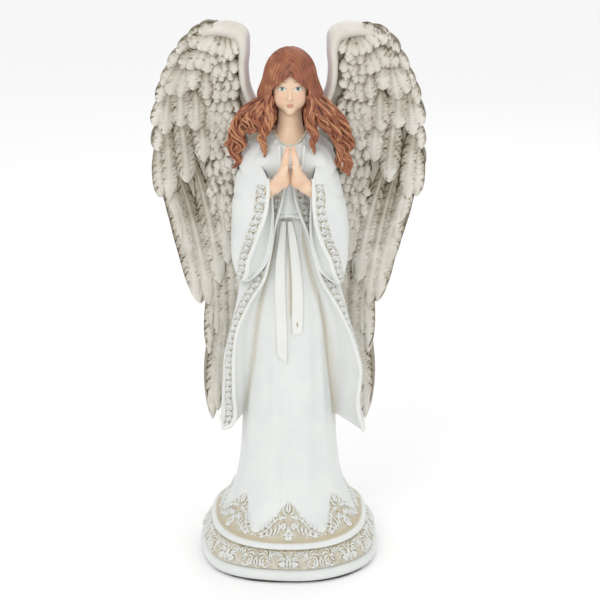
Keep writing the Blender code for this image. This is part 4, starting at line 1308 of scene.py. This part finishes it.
def ribbon(name, node, table, hole_shadow=None, thickness=1.3):
    """Flat hanging band; table rows are (height, middle x, width) from the top."""
    shape = Shape()
    table = np.asarray(table, float)[::-1]
    z = np.linspace(table[-1, 0], table[0, 0], 90)
    held = curve(table, z)
    s = np.linspace(-1, 1, 13)
    zz, ss = np.meshgrid(z, s, indexing="ij")
    x = held[:, 0][:, None] + ss * held[:, 1][:, None] / 2
    slant = held[:, 2][:, None] * ss
    zz = zz + slant
    angle = np.arcsin(np.clip(x / gown_sizes(zz)[0], -0.9, 0.9))
    rest = gown_at(angle, zz, 0.3 + folds(angle, zz))
    ruck = 0.35 * np.sin(ss * 7 + zz / 7) * step(150, 198, zz)
    body = np.sqrt(np.clip(1 - np.abs(ss) ** 6, 0, 1))
    edge = 0.25 * bump(np.abs(ss) - 0.82, 0.1)
    front = rest.copy()
    front[..., 1] -= 0.15 + thickness * (0.55 + 0.45 * body) + ruck + edge + 0.5 * np.sin(zz / 13)
    back = rest.copy()
    back[..., 1] += 0.4
    loop = np.concatenate([front, back[:, ::-1]], axis=1)
    shade = (
        0.30 * bump(np.abs(ss) - 0.68, 0.07) + 0.25 * np.clip(-ruck * 3, 0, 1)
        + 0.5 * np.clip((np.abs(ss) - 0.93) * 14, 0, 1)
    )
    # a painted dark spot stands for the shadow in a hole near the band's end
    if hole_shadow:
        shade += 1.4 * np.exp(-(((x - hole_shadow[0]) / 0.6) ** 2) - ((zz - hole_shadow[1]) / 1.8) ** 2)
    # the back face, lying on the gown, is painted in full shade
    full = np.concatenate([shade, np.full(shade.shape, 0.95)], axis=1)
    closed_tube(shape, loop, wash=full)
    make(name, shape, SASH, [node], 75)


def sash():
    """Band at the waist and its two hanging ends."""
    shape = Shape()
    t = np.linspace(0, 1, 60)
    angle = np.radians(np.interp(t, [0, 1], [-46, 42]))
    z = WAIST + 1.0 - 0.7 * np.cos(t * 2 * math.pi)
    path = gown_at(angle, z, 1.6 + 0.2 * np.sin(t * 31))
    tall = 1.15 + 0.15 * np.sin(t * 17) + 0.1 * np.sin(t * 43)
    rings = sweep(path, np.tile([0, 0, 1.0], (60, 1)), tall, np.full(60, 1.15), 16)
    a = np.arange(16) / 16 * 2 * math.pi
    rings[..., 2] += 0.18 * np.sin(a * 3 + 1)[None]
    # painted shade along the underside of the band
    closed_tube(shape, rings, wash=0.15 + 0.5 * (np.cos(a) < -0.8)[None] * np.ones((60, 1)))
    make("sash_band", shape, SASH, ["sash"], 75)
    ribbon(
        "sash_end_right", "sash_tail_right",
        [
            (199.5, -3.0, 3.6, 0), (192, -3.6, 4.6, 0), (169.6, -5.1, 6.8, 0), (150, -4.7, 7.2, 0),
            (133, -4.0, 7.0, -0.6), (122.0, -4.0, 6.2, -2.4)
        ]
    )
    ribbon(
        "sash_end_left", "sash_tail_left",
        [
            (199.5, 1.0, 3.4, 0), (192, 2.4, 5.0, 0), (169.6, 5.2, 6.6, 0), (155, 5.8, 7.2, 0),
            (142, 5.6, 7.2, 0.3), (136.5, 5.6, 6.2, 0.8)
        ],
        (5.6, 142.0)
    )


robe()
for side in (-1, 1):
    sleeve(side)
sash()

# --------------------------------------------------------------------------------
# Rounded solids: shoulders, head and hands
# --------------------------------------------------------------------------------


def ball(p, centre, radii):
    """Signed distance, nearly, to an ellipsoid."""
    q = (p - np.array(centre, float)) / np.array(radii, float)
    k = np.linalg.norm(q, axis=-1)
    return (k - 1) * min(radii)


def rod(p, a, b, ra, rb):
    """Signed distance to a round rod from a to b, of radius ra and then rb."""
    a, b = np.array(a, float), np.array(b, float)
    t = np.clip(((p - a) @ (b - a)) / ((b - a) @ (b - a)), 0, 1)
    return np.linalg.norm(p - a - t[..., None] * (b - a), axis=-1) - (ra + (rb - ra) * t)


def chain(p, points, radii, soft):
    """Rods from point to point, joined softly."""
    out = rod(p, points[0], points[1], radii[0], radii[1])
    for i in range(1, len(points) - 1):
        out = join(out, rod(p, points[i], points[i + 1], radii[i], radii[i + 1]), soft)
    return out


def join(a, b, soft):
    """Union of two solids with a soft seam."""
    h = np.clip(0.5 + 0.5 * (b - a) / soft, 0, 1)
    return b * (1 - h) + a * h - soft * h * (1 - h)


def carve(a, b, soft):
    """Solid a with b taken away, with a soft edge."""
    return -join(-a, b, soft)


def solid(shape, field, low, high, cell, relief=None, **paint):
    """Adds the zero surface of a field; paint values are functions of the points."""
    low, high = np.array(low, float), np.array(high, float)
    count = np.ceil((high - low) / cell).astype(int) + 1
    axes = [low[k] + cell * np.arange(count[k]) for k in range(3)]
    places = np.stack(np.meshgrid(*axes, indexing="ij"), -1)
    grid = openvdb.FloatGrid(3.0)
    grid.copyFromArray(field(places).astype(np.float32))
    points, quads = grid.convertToQuads(0.0)
    points = points.astype(float) * cell + low
    e = 0.12
    slope = np.stack([field(points + e * axis) - field(points - e * axis) for axis in np.eye(3)], -1)
    normal = unit(slope)
    if relief is not None:
        points = points + normal * relief(points)[:, None]
    a, b, c = (points[quads[:, k]] for k in range(3))
    outward = np.sum(np.cross(b - a, c - a) * normal[quads[:, 0]], -1).mean() > 0
    quads = quads if outward else quads[:, ::-1]
    shape.add(points, [quads], **{key: value(points) for key, value in paint.items()})


MIDDLE = 1.1  # how far the head sits towards +X


def yoke_field(p):
    """Solid of the shoulders and the upper chest under the robe."""
    q = p.copy()
    q[..., 0] -= 0.6
    out = ball(q, (0, -0.6, 232.0), (18.8, 14.0, 18.5))
    for side in (-1, 1):
        out = join(out, rod(q, (side * 8.0, 0.6, 246.6), (side * 18.5, -0.6, 237.5), 4.4, 5.6), 3.0)
    out = join(out, rod(q, (-12.6, -8.6, 229.0), (13.2, -8.6, 229.8), 9.6, 9.6), 6.0)
    return out


def neckline(x):
    """Height of the neckline, lowest in the middle."""
    return 242.0 + 8.6 * np.clip(np.abs(x - MIDDLE) / 10.6, 0, 1.3) ** 2.2


def shoulders():
    """The robe's yoke over the chest and shoulders, and the rim of its neckline."""
    def field(p):
        opening = p[..., 2] - np.where(p[..., 1] < 3, neckline(p[..., 0]), 250.5)
        return np.maximum(np.maximum(yoke_field(p), opening), 218 - p[..., 2])

    def relief(p):
        x = p[..., 0] - MIDDLE
        below = neckline(p[..., 0]) - p[..., 2]
        ruffle = 0.35 * np.cos(np.degrees(np.arctan2(x, 252 - p[..., 2])) * 0.42) * bump(below - 2.2, 2.0)
        return ruffle * step(1, -2, p[..., 1]) * step(14, 11, np.abs(x))

    def wash(p):
        below = neckline(p[..., 0]) - p[..., 2]
        return (
            0.55 * bump(below - 3.4, 0.7) * step(0, -5, p[..., 1])
            * step(13, 10, np.abs(p[..., 0] - MIDDLE))
        )

    shape = Shape()
    solid(shape, field, (-27, -21, 217), (29, 16, 253), 0.85, relief, wash=wash)
    make("shoulder_cloth", shape, WHITE, [], 80)

    rim = Shape()
    x = np.linspace(MIDDLE - 9.6, MIDDLE + 9.6, 70)
    z = neckline(x)
    depth = np.linspace(-17, 3, 160)
    probe = np.stack(np.broadcast_arrays(x[:, None], depth[None], z[:, None]), -1)
    inside = yoke_field(probe) < 0
    y = smoothed(depth[np.argmax(inside, axis=1)], 3)
    path = np.stack([x, y - 0.1, z], -1)
    thick = 0.72 + 0.10 * np.cos(np.arange(70) * 0.9)
    rings = sweep(path, np.tile([0, 1.0, 0], (70, 1)), thick, thick, 12)
    closed_tube(
        rim, rings,
        wash=0.12 + 0.5 * np.clip(-np.cos(np.arange(12) / 12 * 2 * math.pi), 0, 1)[None] * np.ones((70, 12))
    )
    make("collar_rim", rim, CREAM, [], 80)


# Face on plain proportions: eyes half way up the head, the nose's base half way from
# brow to chin, the mouth a third of the way from there to the chin
CHIN, CROWN = 257.5, 287.5
EYES = (CHIN + CROWN) / 2
BROW = EYES + 3.2
NOSE_BASE = (BROW + CHIN) / 2
MOUTH = NOSE_BASE - (NOSE_BASE - CHIN) / 3
EYE_OUT = 4.3


def head_field(p):
    """Solid of the head, neck and bust; m mirrors what comes in pairs."""
    q = p.copy()
    q[..., 0] -= MIDDLE
    m = q.copy()
    m[..., 0] = np.abs(m[..., 0])
    out = ball(q, (0, 1.5, 275.2), (10.6, 12.0, 12.3))
    out = join(out, ball(q, (0, -2.6, 268.4), (9.0, 8.6, 10.6)), 3.0)
    out = join(out, ball(m, (4.0, -6.6, 266.0), (4.4, 3.9, 4.2)), 2.4)
    out = join(out, ball(q, (0, -8.3, CHIN + 2.7), (2.9, 2.6, 2.5)), 2.4)
    out = carve(out, ball(m, (EYE_OUT, -12.9, EYES + 0.1), (3.0, 2.1, 1.9)), 1.4)
    out = join(out, ball(m, (EYE_OUT, -8.55, EYES), (2.5, 2.35, 1.9)), 0.5)
    out = join(out, rod(q, (0, -10.6, EYES + 0.6), (0, -12.7, NOSE_BASE + 1.0), 0.75, 1.15), 1.3)
    out = join(out, ball(m, (0.95, -12.0, NOSE_BASE + 0.7), (0.85, 0.95, 0.7)), 0.6)
    lip = -11.15 + 0.16 * m[..., 0] ** 2
    upper = np.stack([m[..., 0] * 0.50, q[..., 1] - lip, (q[..., 2] - MOUTH - 0.45) * 1.25], -1)
    lower = np.stack([m[..., 0] * 0.62, q[..., 1] - lip - 0.1, (q[..., 2] - MOUTH + 0.65) * 1.1], -1)
    out = join(out, np.linalg.norm(upper, axis=-1) - 0.80, 0.45)
    out = join(out, np.linalg.norm(lower, axis=-1) - 0.85, 0.45)
    out = join(out, rod(q, (0, 0.9, 266), (0, -1.6, 246), 5.8, 7.2), 2.4)
    bust = ball(q, (-0.4, -0.4, 232.0), (17.6, 13.0, 17.4))
    out = join(out, bust, 4.0)
    return np.maximum(out, 236 - p[..., 2])


def spot(p, x, z, wide, tall):
    """1 inside an ellipse on the front of the face, mirrored to both sides."""
    m = np.abs(p[..., 0] - MIDDLE)
    r = (np.abs(m - x) / wide) ** 2 + (np.abs(p[..., 2] - z) / tall) ** 2
    return step(1.12, 0.88, r) * (p[..., 1] < 0)


def skin_paint():
    p = Paint("painted skin", 0.38, coat=0.15)
    clouds = p.noise(140.0, 3.0)
    colour = p.mix(p.range(clouds, 0.35, 0.7), srgb(248, 216, 186), srgb(243, 208, 176))
    colour = p.mix(p.attribute("blush"), colour, srgb(238, 176, 150))
    colour = p.mix(p.attribute("lips"), colour, srgb(210, 134, 116))
    colour = p.mix(p.attribute("white"), colour, srgb(240, 240, 236))
    colour = p.mix(p.attribute("iris"), colour, srgb(96, 128, 132))
    colour = p.mix(p.attribute("dark"), colour, srgb(40, 30, 26))
    colour = p.mix(p.attribute("brows"), colour, srgb(150, 98, 66))
    return p.finish(colour, clouds, 0.00003)


SKIN = skin_paint()


def head():
    """Head, neck and bare upper chest, with painted features."""
    def brows(p):
        m = np.abs(p[..., 0] - MIDDLE)
        arch = BROW + 0.2 + 0.5 * np.sin(np.clip((m - 1.9) / 5.2, 0, 1) * math.pi)
        return 0.75 * bump(p[..., 2] - arch, 0.28) * step(1.7, 2.3, m) * step(7.2, 6.4, m) * (p[..., 1] < 0)

    def lashes(p):
        m = np.abs(p[..., 0] - MIDDLE) - EYE_OUT
        lid = EYES + 1.05 - 0.22 * m**2
        return np.clip(0.9 * bump(p[..., 2] - lid, 0.24) * step(2.5, 2.1, np.abs(m)), 0, 1)

    def eye(p):
        return spot(p, EYE_OUT, EYES, 2.15, 1.05)

    shape = Shape()
    solid(
        shape, head_field, (-18, -16, 235), (20, 16, 289), 0.5,
        blush=lambda p: 0.55 * bump(np.abs(p[..., 0] - MIDDLE) - 5.4, 2.3) * bump(p[..., 2] - 267.3, 2.4)
        * (p[..., 1] < -2),
        lips=lambda p: 0.8 * spot(p, 0, MOUTH - 0.05, 1.8, 1.0) * (p[..., 1] < -9),
        white=lambda p: eye(p) * (p[..., 1] < -7),
        iris=lambda p: eye(p) * spot(p, EYE_OUT, EYES + 0.05, 0.98, 0.98) * (p[..., 1] < -7),
        dark=lambda p: np.maximum(eye(p) * spot(p, EYE_OUT, EYES + 0.05, 0.45, 0.45), lashes(p))
        * (p[..., 1] < -7),
        brows=brows,
    )
    make("head_skin", shape, SKIN, ["head"], 80)


def hand(side):
    """Hand pressed flat against the other, fingers up, forearm going into its sleeve."""
    def field(p):
        q = p.copy()
        q[..., 0] = (q[..., 0] - 1.3) * side / (1 + 0.5 * step(223, 231, q[..., 2]))
        q[..., 2] += 1.0 * step(226, 236, q[..., 2])
        out = ball(q, (2.3, -27.3, 229.6), (2.2, 4.9, 6.6))
        for (y0, z0, y1, z1, r0, r1) in (
            (-30.4, 232.0, -29.6, 243.0, 1.45, 1.0), (-28.4, 232.6, -28.0, 244.6, 1.45, 1.0),
            (-26.3, 232.2, -26.4, 243.4, 1.4, 0.95), (-24.3, 231.0, -24.9, 240.2, 1.25, 0.85),
        ):
            middle = ((y0 + y1) / 2 - 0.2, (z0 + z1) / 2)
            finger = chain(
                q, [(2.1, y0, z0), (1.75, middle[0], middle[1]), (1.05, y1, z1)],
                (r0, (r0 + r1) / 2 + 0.05, r1), 0.4
            )
            out = join(out, finger, 0.55)
        thumb = chain(
            q, [(3.4, -29.6, 226.4), (2.9, -31.6, 230.2), (1.5, -31.9, 235.4)], (1.9, 1.55, 1.0), 0.5
        )
        out = join(out, thumb, 0.8)
        out = join(out, ball(q, (3.4, -27.6, 226.2), (2.9, 4.0, 3.6)), 1.8)
        arm = chain(q, [(3.9, -27.4, 225.6), (8.2, -25.6, 221.8), (14.0, -21.0, 217.0)], (3.3, 3.4, 4.0), 1.5)
        out = join(out, arm, 1.8)
        return np.maximum(out, 0.12 - q[..., 0])

    def blush(p):
        return 0.35 * bump(p[..., 2] - 243, 2.4) + 0.25 * bump(p[..., 2] - 224.5, 2.0)

    shape = Shape()
    low = (1.0, -35, 211) if side > 0 else (-19, -35, 211)
    high = (21, -15, 247) if side > 0 else (1.6, -15, 247)
    solid(shape, field, low, high, 0.45, blush=blush)
    name = "hand_left" if side > 0 else "hand_right"
    make(name + "_skin", shape, SKIN, [name], 80)


# --------------------------------------------------------------------------------
# Hair
# --------------------------------------------------------------------------------


def hair_paint():
    p = Paint("painted auburn hair", 0.5)
    clouds = p.noise(110.0, 3.0)
    held = p.attribute("wash")
    fine = p.noise(1500.0, 2.0, 0.6)
    base = p.mix(p.range(clouds, 0.35, 0.68), srgb(152, 88, 62), srgb(164, 100, 70))
    mixed = p.math("ADD", held, p.math("MULTIPLY", p.math("SUBTRACT", fine, 0.5), 0.3))
    # painted shade in the grooves of the hair (high values) and painted highlight on its ridges (low values)
    colour = p.mix(p.range(mixed, 0.45, 1.0), base, srgb(88, 46, 32))
    colour = p.mix(p.range(mixed, 0.30, -0.15), colour, srgb(206, 148, 106))
    return p.finish(colour, fine, 0.00005)


HAIR = hair_paint()


def lock(shape, points, radii, seed, flat=0.75, grooves=7, twist=1.2, sides=22, rows=44):
    """A hank of hair: a tapering tube with twisting grooves."""
    rng = np.random.default_rng(seed)
    t = np.linspace(0, 1, rows)
    path = spline(points, t)
    turn = t * len(points) * 2.6 + rng.uniform(0, 6)
    path = (
        path
        + (0.9 * step(0.25, 0.8, t))[:, None] * np.stack(
            [np.sin(turn), 0.6 * np.cos(turn), 0.3 * np.sin(turn + 1)], -1
        )
    )
    radius = np.interp(t, np.linspace(0, 1, len(radii)), radii)
    radius = smoothed(radius, 2)
    a = np.arange(sides) / sides * 2 * math.pi
    phase = grooves * a[None] + twist * 6 * t[:, None] + rng.uniform(0, 6)
    phase = (
        phase + 1.3 * np.sin(t[:, None] * 9 + rng.uniform(0, 6))
        + 0.8 * np.sin(2 * a[None] + t[:, None] * 5)
    )
    ridge = np.cos(phase)
    small = np.cos(2.6 * phase + 2 * np.sin(3 * a)[None])
    ripple = 1 + 0.11 * ridge + 0.045 * small + 0.05 * rng.normal(size=(rows, 1)).cumsum(0) / rows**0.5
    facing = np.tile([1.0, 0.0, 0.0], (rows, 1))
    rings = sweep(path, facing, radius, radius * flat, sides, ripple)
    # lighter on the ridges and darker in the grooves: painted highlight and shade
    closed_tube(shape, rings, wash=0.42 - 0.48 * ridge - 0.26 * small + 0.5 * noise(rings, 3.0, seed))


def strand(shape, points, radius, seed, turns, spread):
    """A thin loose strand that winds round the line of its lock."""
    rng = np.random.default_rng(seed)
    t = np.linspace(0, 1, 32)
    path = spline(points, t)
    start = rng.uniform(0, 6)
    path = (
        path
        + (spread * np.sin(t * math.pi)[:, None]) * np.stack(
            [
                np.cos(start + turns * 6.3 * t), -0.8 + 0.4 * np.sin(start + turns * 6.3 * t),
                0.3 * np.sin(turns * 5 * t + start)
            ],
            -1
        )
    )
    r = radius * np.sin(np.clip(t * 0.96 + 0.04, 0, 1) * math.pi) ** 0.5
    rings = sweep(path, np.tile([1.0, 0, 0], (32, 1)), r, r * 0.8, 6)
    closed_tube(shape, rings, wash=rng.uniform(-0.2, 0.55))


LOCKS_RIGHT = [
    (
        [
            (-8.5, 2, 267), (-11.5, 0, 264.0), (-17.0, -2, 261), (-22.0, -4, 258.0), (-26.4, -5, 253),
            (-27.6, -6, 247), (-26.6, -7, 242), (-29.6, -7.5, 237), (-27.4, -8, 232.5), (-29.8, -8.5, 228)
        ],
        (3, 4.6, 5.2, 4.8, 4.2, 3.6, 3.0, 2.4, 1.6, 0.3)
    ),
    (
        [
            (-9, 1, 265), (-13.5, -3, 261.6), (-19.5, -5.5, 259.5), (-25.0, -6, 256.5), (-29.0, -6, 250),
            (-30.2, -6.5, 243.5), (-31.8, -7, 239), (-29.8, -7.5, 234)
        ],
        (3, 3.8, 3.6, 3.0, 2.6, 2.2, 1.4, 0.3)
    ),
    ([(-29.0, -6, 249), (-31.5, -6, 243.5), (-33.8, -6, 241.2), (-35.2, -6, 241.4)], (2.0, 1.6, 0.9, 0.2)),
    (
        [
            (-9.6, -7.0, 268), (-11.0, -9.6, 263), (-10.2, -11.2, 257.5), (-12.0, -12.6, 251),
            (-14.6, -14.2, 246.0), (-12.4, -15.2, 241.0), (-13.4, -15.8, 235.8)
        ],
        (2.2, 2.8, 2.8, 2.7, 2.1, 1.4, 0.3)
    ),
    (
        [
            (-10, -5, 265), (-13.0, -8, 260.6), (-16.5, -10.0, 256.5), (-17.4, -11.2, 252.5),
            (-20.0, -11.4, 249.8), (-21.0, -11.4, 247.4)
        ],
        (2.8, 3.4, 3.2, 2.6, 1.6, 0.3)
    ),
    (
        [
            (-10, -2, 267), (-13.6, -6, 262.6), (-19.6, -8.4, 258), (-23.0, -9, 253.0), (-25.0, -9.6, 249),
            (-26.6, -9.6, 244.5)
        ],
        (3, 3.8, 3.6, 2.8, 1.9, 0.3)
    ),
    ([(-9.2, -4, 262), (-8.4, -5.0, 257), (-9.8, -7.5, 253), (-9.0, -9.5, 249.5)], (2.4, 2.2, 1.7, 0.4)),
]
LOCKS_LEFT = [
    (
        [
            (10.5, 2, 267), (13.5, 0, 264.5), (19.0, -2, 261.5), (23.0, -4, 258.0), (27.0, -5, 252.5),
            (29.0, -6, 246.5), (31.6, -7, 241.5), (29.8, -8, 236.5), (32.0, -8.5, 231.5), (31.4, -8.5, 225)
        ],
        (3, 4.6, 5.0, 4.6, 4.0, 3.4, 3.0, 2.4, 1.9, 0.3)
    ),
    (
        [
            (11, 1, 265), (15.6, -3, 262), (22.5, -5.5, 260), (27.6, -6, 256), (31.0, -6, 250.5),
            (33.2, -6.5, 244.5), (34.4, -7, 240), (32.6, -7.5, 236)
        ],
        (3, 3.8, 3.6, 3.0, 2.6, 2.2, 1.6, 0.4)
    ),
    (
        [(28.5, -8, 243), (31.0, -8.5, 237.5), (33.6, -8.5, 232), (32.6, -8.5, 227.5), (34.2, -8.4, 224)],
        (2.4, 2.3, 2.0, 1.3, 0.3)
    ),
    (
        [
            (11.8, -7.0, 268), (13.2, -9.6, 263), (12.0, -11.2, 257.5), (12.4, -12.6, 251.5),
            (14.8, -14.2, 246.6), (12.8, -15.2, 242.2), (14.4, -15.8, 238.0)
        ],
        (2.2, 2.8, 2.7, 2.6, 2.0, 1.3, 0.3)
    ),
    (
        [
            (12, -5, 265), (15.0, -8, 261), (18.4, -10.0, 257), (19.6, -11.2, 252.5), (22.0, -11.4, 250.0),
            (22.6, -11.4, 247.6)
        ],
        (2.8, 3.4, 3.2, 2.6, 1.6, 0.3)
    ),
    (
        [
            (12, -2, 267), (15.6, -6, 263), (21.8, -8.4, 258.5), (25.0, -9, 252), (26.2, -9.6, 246),
            (28.6, -9.6, 240), (27.8, -9.4, 233), (29.4, -9, 226.4)
        ],
        (3, 3.8, 3.6, 3.0, 2.5, 2.2, 1.7, 0.3)
    ),
    ([(11.4, -4, 262), (10.6, -5.0, 257), (11.8, -7.5, 253), (11.2, -9.5, 249.5)], (2.4, 2.2, 1.7, 0.4)),
]
LOCKS_BACK = [
    (
        [
            (x0, y0 - 1, 278), (x0 * 1.2 - 0.2, y0 + 1.5, 268), (x0 * 1.3, y0 + 2, 258),
            (x0 * 1.25 + w, y0 + 3.5, 249), (x0 * 1.25 - w, y0 + 4.0, 240), (x0 * 1.2 + w, y0 + 3.4, z1)
        ],
        (4, 5.2, 5.0, 4.4, 3.2, 0.5)
    )
    for x0, y0, w,
    z1 in (
        (-8.4, 7, 1.5, 233), (-5.0, 11, -1.2, 228), (-1.0, 12.5, 1.4, 225), (3.4, 12.5, -1.4, 227),
        (7.4, 11, 1.4, 229), (10.6, 7, -1.5, 234)
    )
]


def hair_cap():
    """Parted hair over the crown, and the locks down the back."""
    def field(p):
        q = p.copy()
        q[..., 0] -= MIDDLE
        out = ball(q, (0, 2.6, 277.0), (14.6, 15.6, 16.6))
        out = join(out, ball(q, (0, 2.8, 267.0), (18.2, 13.8, 13.0)), 4.0)
        opening = np.maximum(
            np.maximum(q[..., 2] - 280.0 + 0.78 * np.abs(q[..., 0]) ** 1.03, np.abs(q[..., 0]) - 9.9),
            q[..., 1] + 1.5
        )
        out = carve(out, opening, 0.8)
        return np.maximum(out, 259 - p[..., 2])

    def phase(p):
        x = p[..., 0] - MIDDLE
        warp = 1.1 * noise(p * np.array([1, 1, 0.45]), 7.0, 2)
        return p[..., 1] + 0.55 * np.abs(x) + warp + 0.10 * (p[..., 2] - 270)

    def relief(p):
        f = phase(p)
        x = p[..., 0] - MIDDLE
        parting = -0.3 * bump(x, 0.8) * step(270, 284, p[..., 2])
        return 0.15 * np.cos(f * 2 * math.pi / 1.9) + 0.10 * np.cos(f * 2 * math.pi / 0.95 + 2) + parting

    def wash(p):
        f = phase(p)
        x = p[..., 0] - MIDDLE
        parting = 0.15 * bump(x, 0.8) * step(270, 284, p[..., 2])
        # painted highlight on the ridges of the waves, and painted shade in their grooves, in the parting and
        # low down beside the face
        shade = 0.5 * step(268, 258, p[..., 2]) * step(13, 9, np.abs(x))
        return (
            0.40 - 0.16 * np.cos(f * 2 * math.pi / 1.9) - 0.2 * np.cos(f * 2 * math.pi / 0.95 + 2) + parting
            + 0.35 * noise(p, 3, 1) + shade
        )

    shape = Shape()
    solid(shape, field, (-19, -15, 257), (21, 21, 296), 0.7, relief, wash=wash)
    for k, (points, radii) in enumerate(LOCKS_BACK):
        lock(shape, points, radii, 60 + k, 0.7, 6, 0.8, 24, 46)
    make("hair_top", shape, HAIR, ["hair_cap"], 80)


def hair_side(side):
    """Wavy locks and loose strands that fall over one shoulder."""
    shape = Shape()
    for k, (points, radii) in enumerate(LOCKS_LEFT if side > 0 else LOCKS_RIGHT):
        lock(shape, points, radii, 20 * side + 100 + k)
        for n in range(7):
            strand(
                shape, points, 0.62, 10 * k + n + (300 if side > 0 else 500), 1.2 + 0.4 * n,
                0.8 * max(radii)
            )
    name = "hair_lock_left" if side > 0 else "hair_lock_right"
    make(name + "_waves", shape, HAIR, [name], 80)


shoulders()
head()
for side in (-1, 1):
    hand(side)
    hair_side(side)
hair_cap()

# --------------------------------------------------------------------------------
# Studio
# --------------------------------------------------------------------------------


def area_light(name, place, target, size, watts):
    data = bpy.data.lights.new(name, "AREA")
    data.shape = "DISK"
    data.size = size
    data.energy = watts
    light = bpy.data.objects.new(name, data)
    light.location = place
    light.rotation_euler = (Vector(target) - Vector(place)).to_track_quat("-Z", "Y").to_euler()
    bpy.context.scene.collection.objects.link(light)


def studio():
    """Pale floor, white surroundings, three soft lights and the camera."""
    floor_mesh = bpy.data.meshes.new("floor")
    size = 12.0
    floor_mesh.from_pydata(
        [(-size, -size, 0), (size, -size, 0), (size, size, 0), (-size, size, 0)], [], [(0, 1, 2, 3)]
    )
    floor_mat = bpy.data.materials.new("pale floor")
    floor_mat.use_nodes = True
    shader = floor_mat.node_tree.nodes["Principled BSDF"]
    shader.inputs["Base Color"].default_value = (0.96, 0.96, 0.96, 1)
    shader.inputs["Roughness"].default_value = 0.8
    floor_mesh.materials.append(floor_mat)
    floor = bpy.data.objects.new("floor", floor_mesh)
    bpy.context.scene.collection.objects.link(floor)

    world = bpy.data.worlds.new("studio")
    bpy.context.scene.world = world
    world.use_nodes = True
    world.node_tree.nodes["Background"].inputs["Color"].default_value = (1, 1, 1, 1)
    world.node_tree.nodes["Background"].inputs["Strength"].default_value = 0.96
    area_light("key", (-0.45, -0.9, 0.95), (0, 0, 0.16), 0.5, 2.75)
    area_light("fill", (0.8, -0.75, 0.45), (0, 0, 0.15), 0.7, 0.92)
    area_light("back", (0.3, 0.9, 0.9), (0, 0, 0.2), 0.6, 1.3)

    data = bpy.data.cameras.new("camera")
    data.sensor_width = 36.0
    data.lens = 101.2
    data.clip_start = 0.01
    camera = bpy.data.objects.new("camera", data)
    aim = Vector((0.0065, 0.0, 0.150))
    elevation, distance = math.radians(17.0), 0.958
    camera.location = aim + distance * Vector((0, -math.cos(elevation), math.sin(elevation)))
    camera.rotation_euler = (aim - camera.location).to_track_quat("-Z", "Y").to_euler()
    bpy.context.scene.collection.objects.link(camera)
    bpy.context.scene.camera = camera
    bpy.context.scene.view_settings.view_transform = "Standard"


studio()
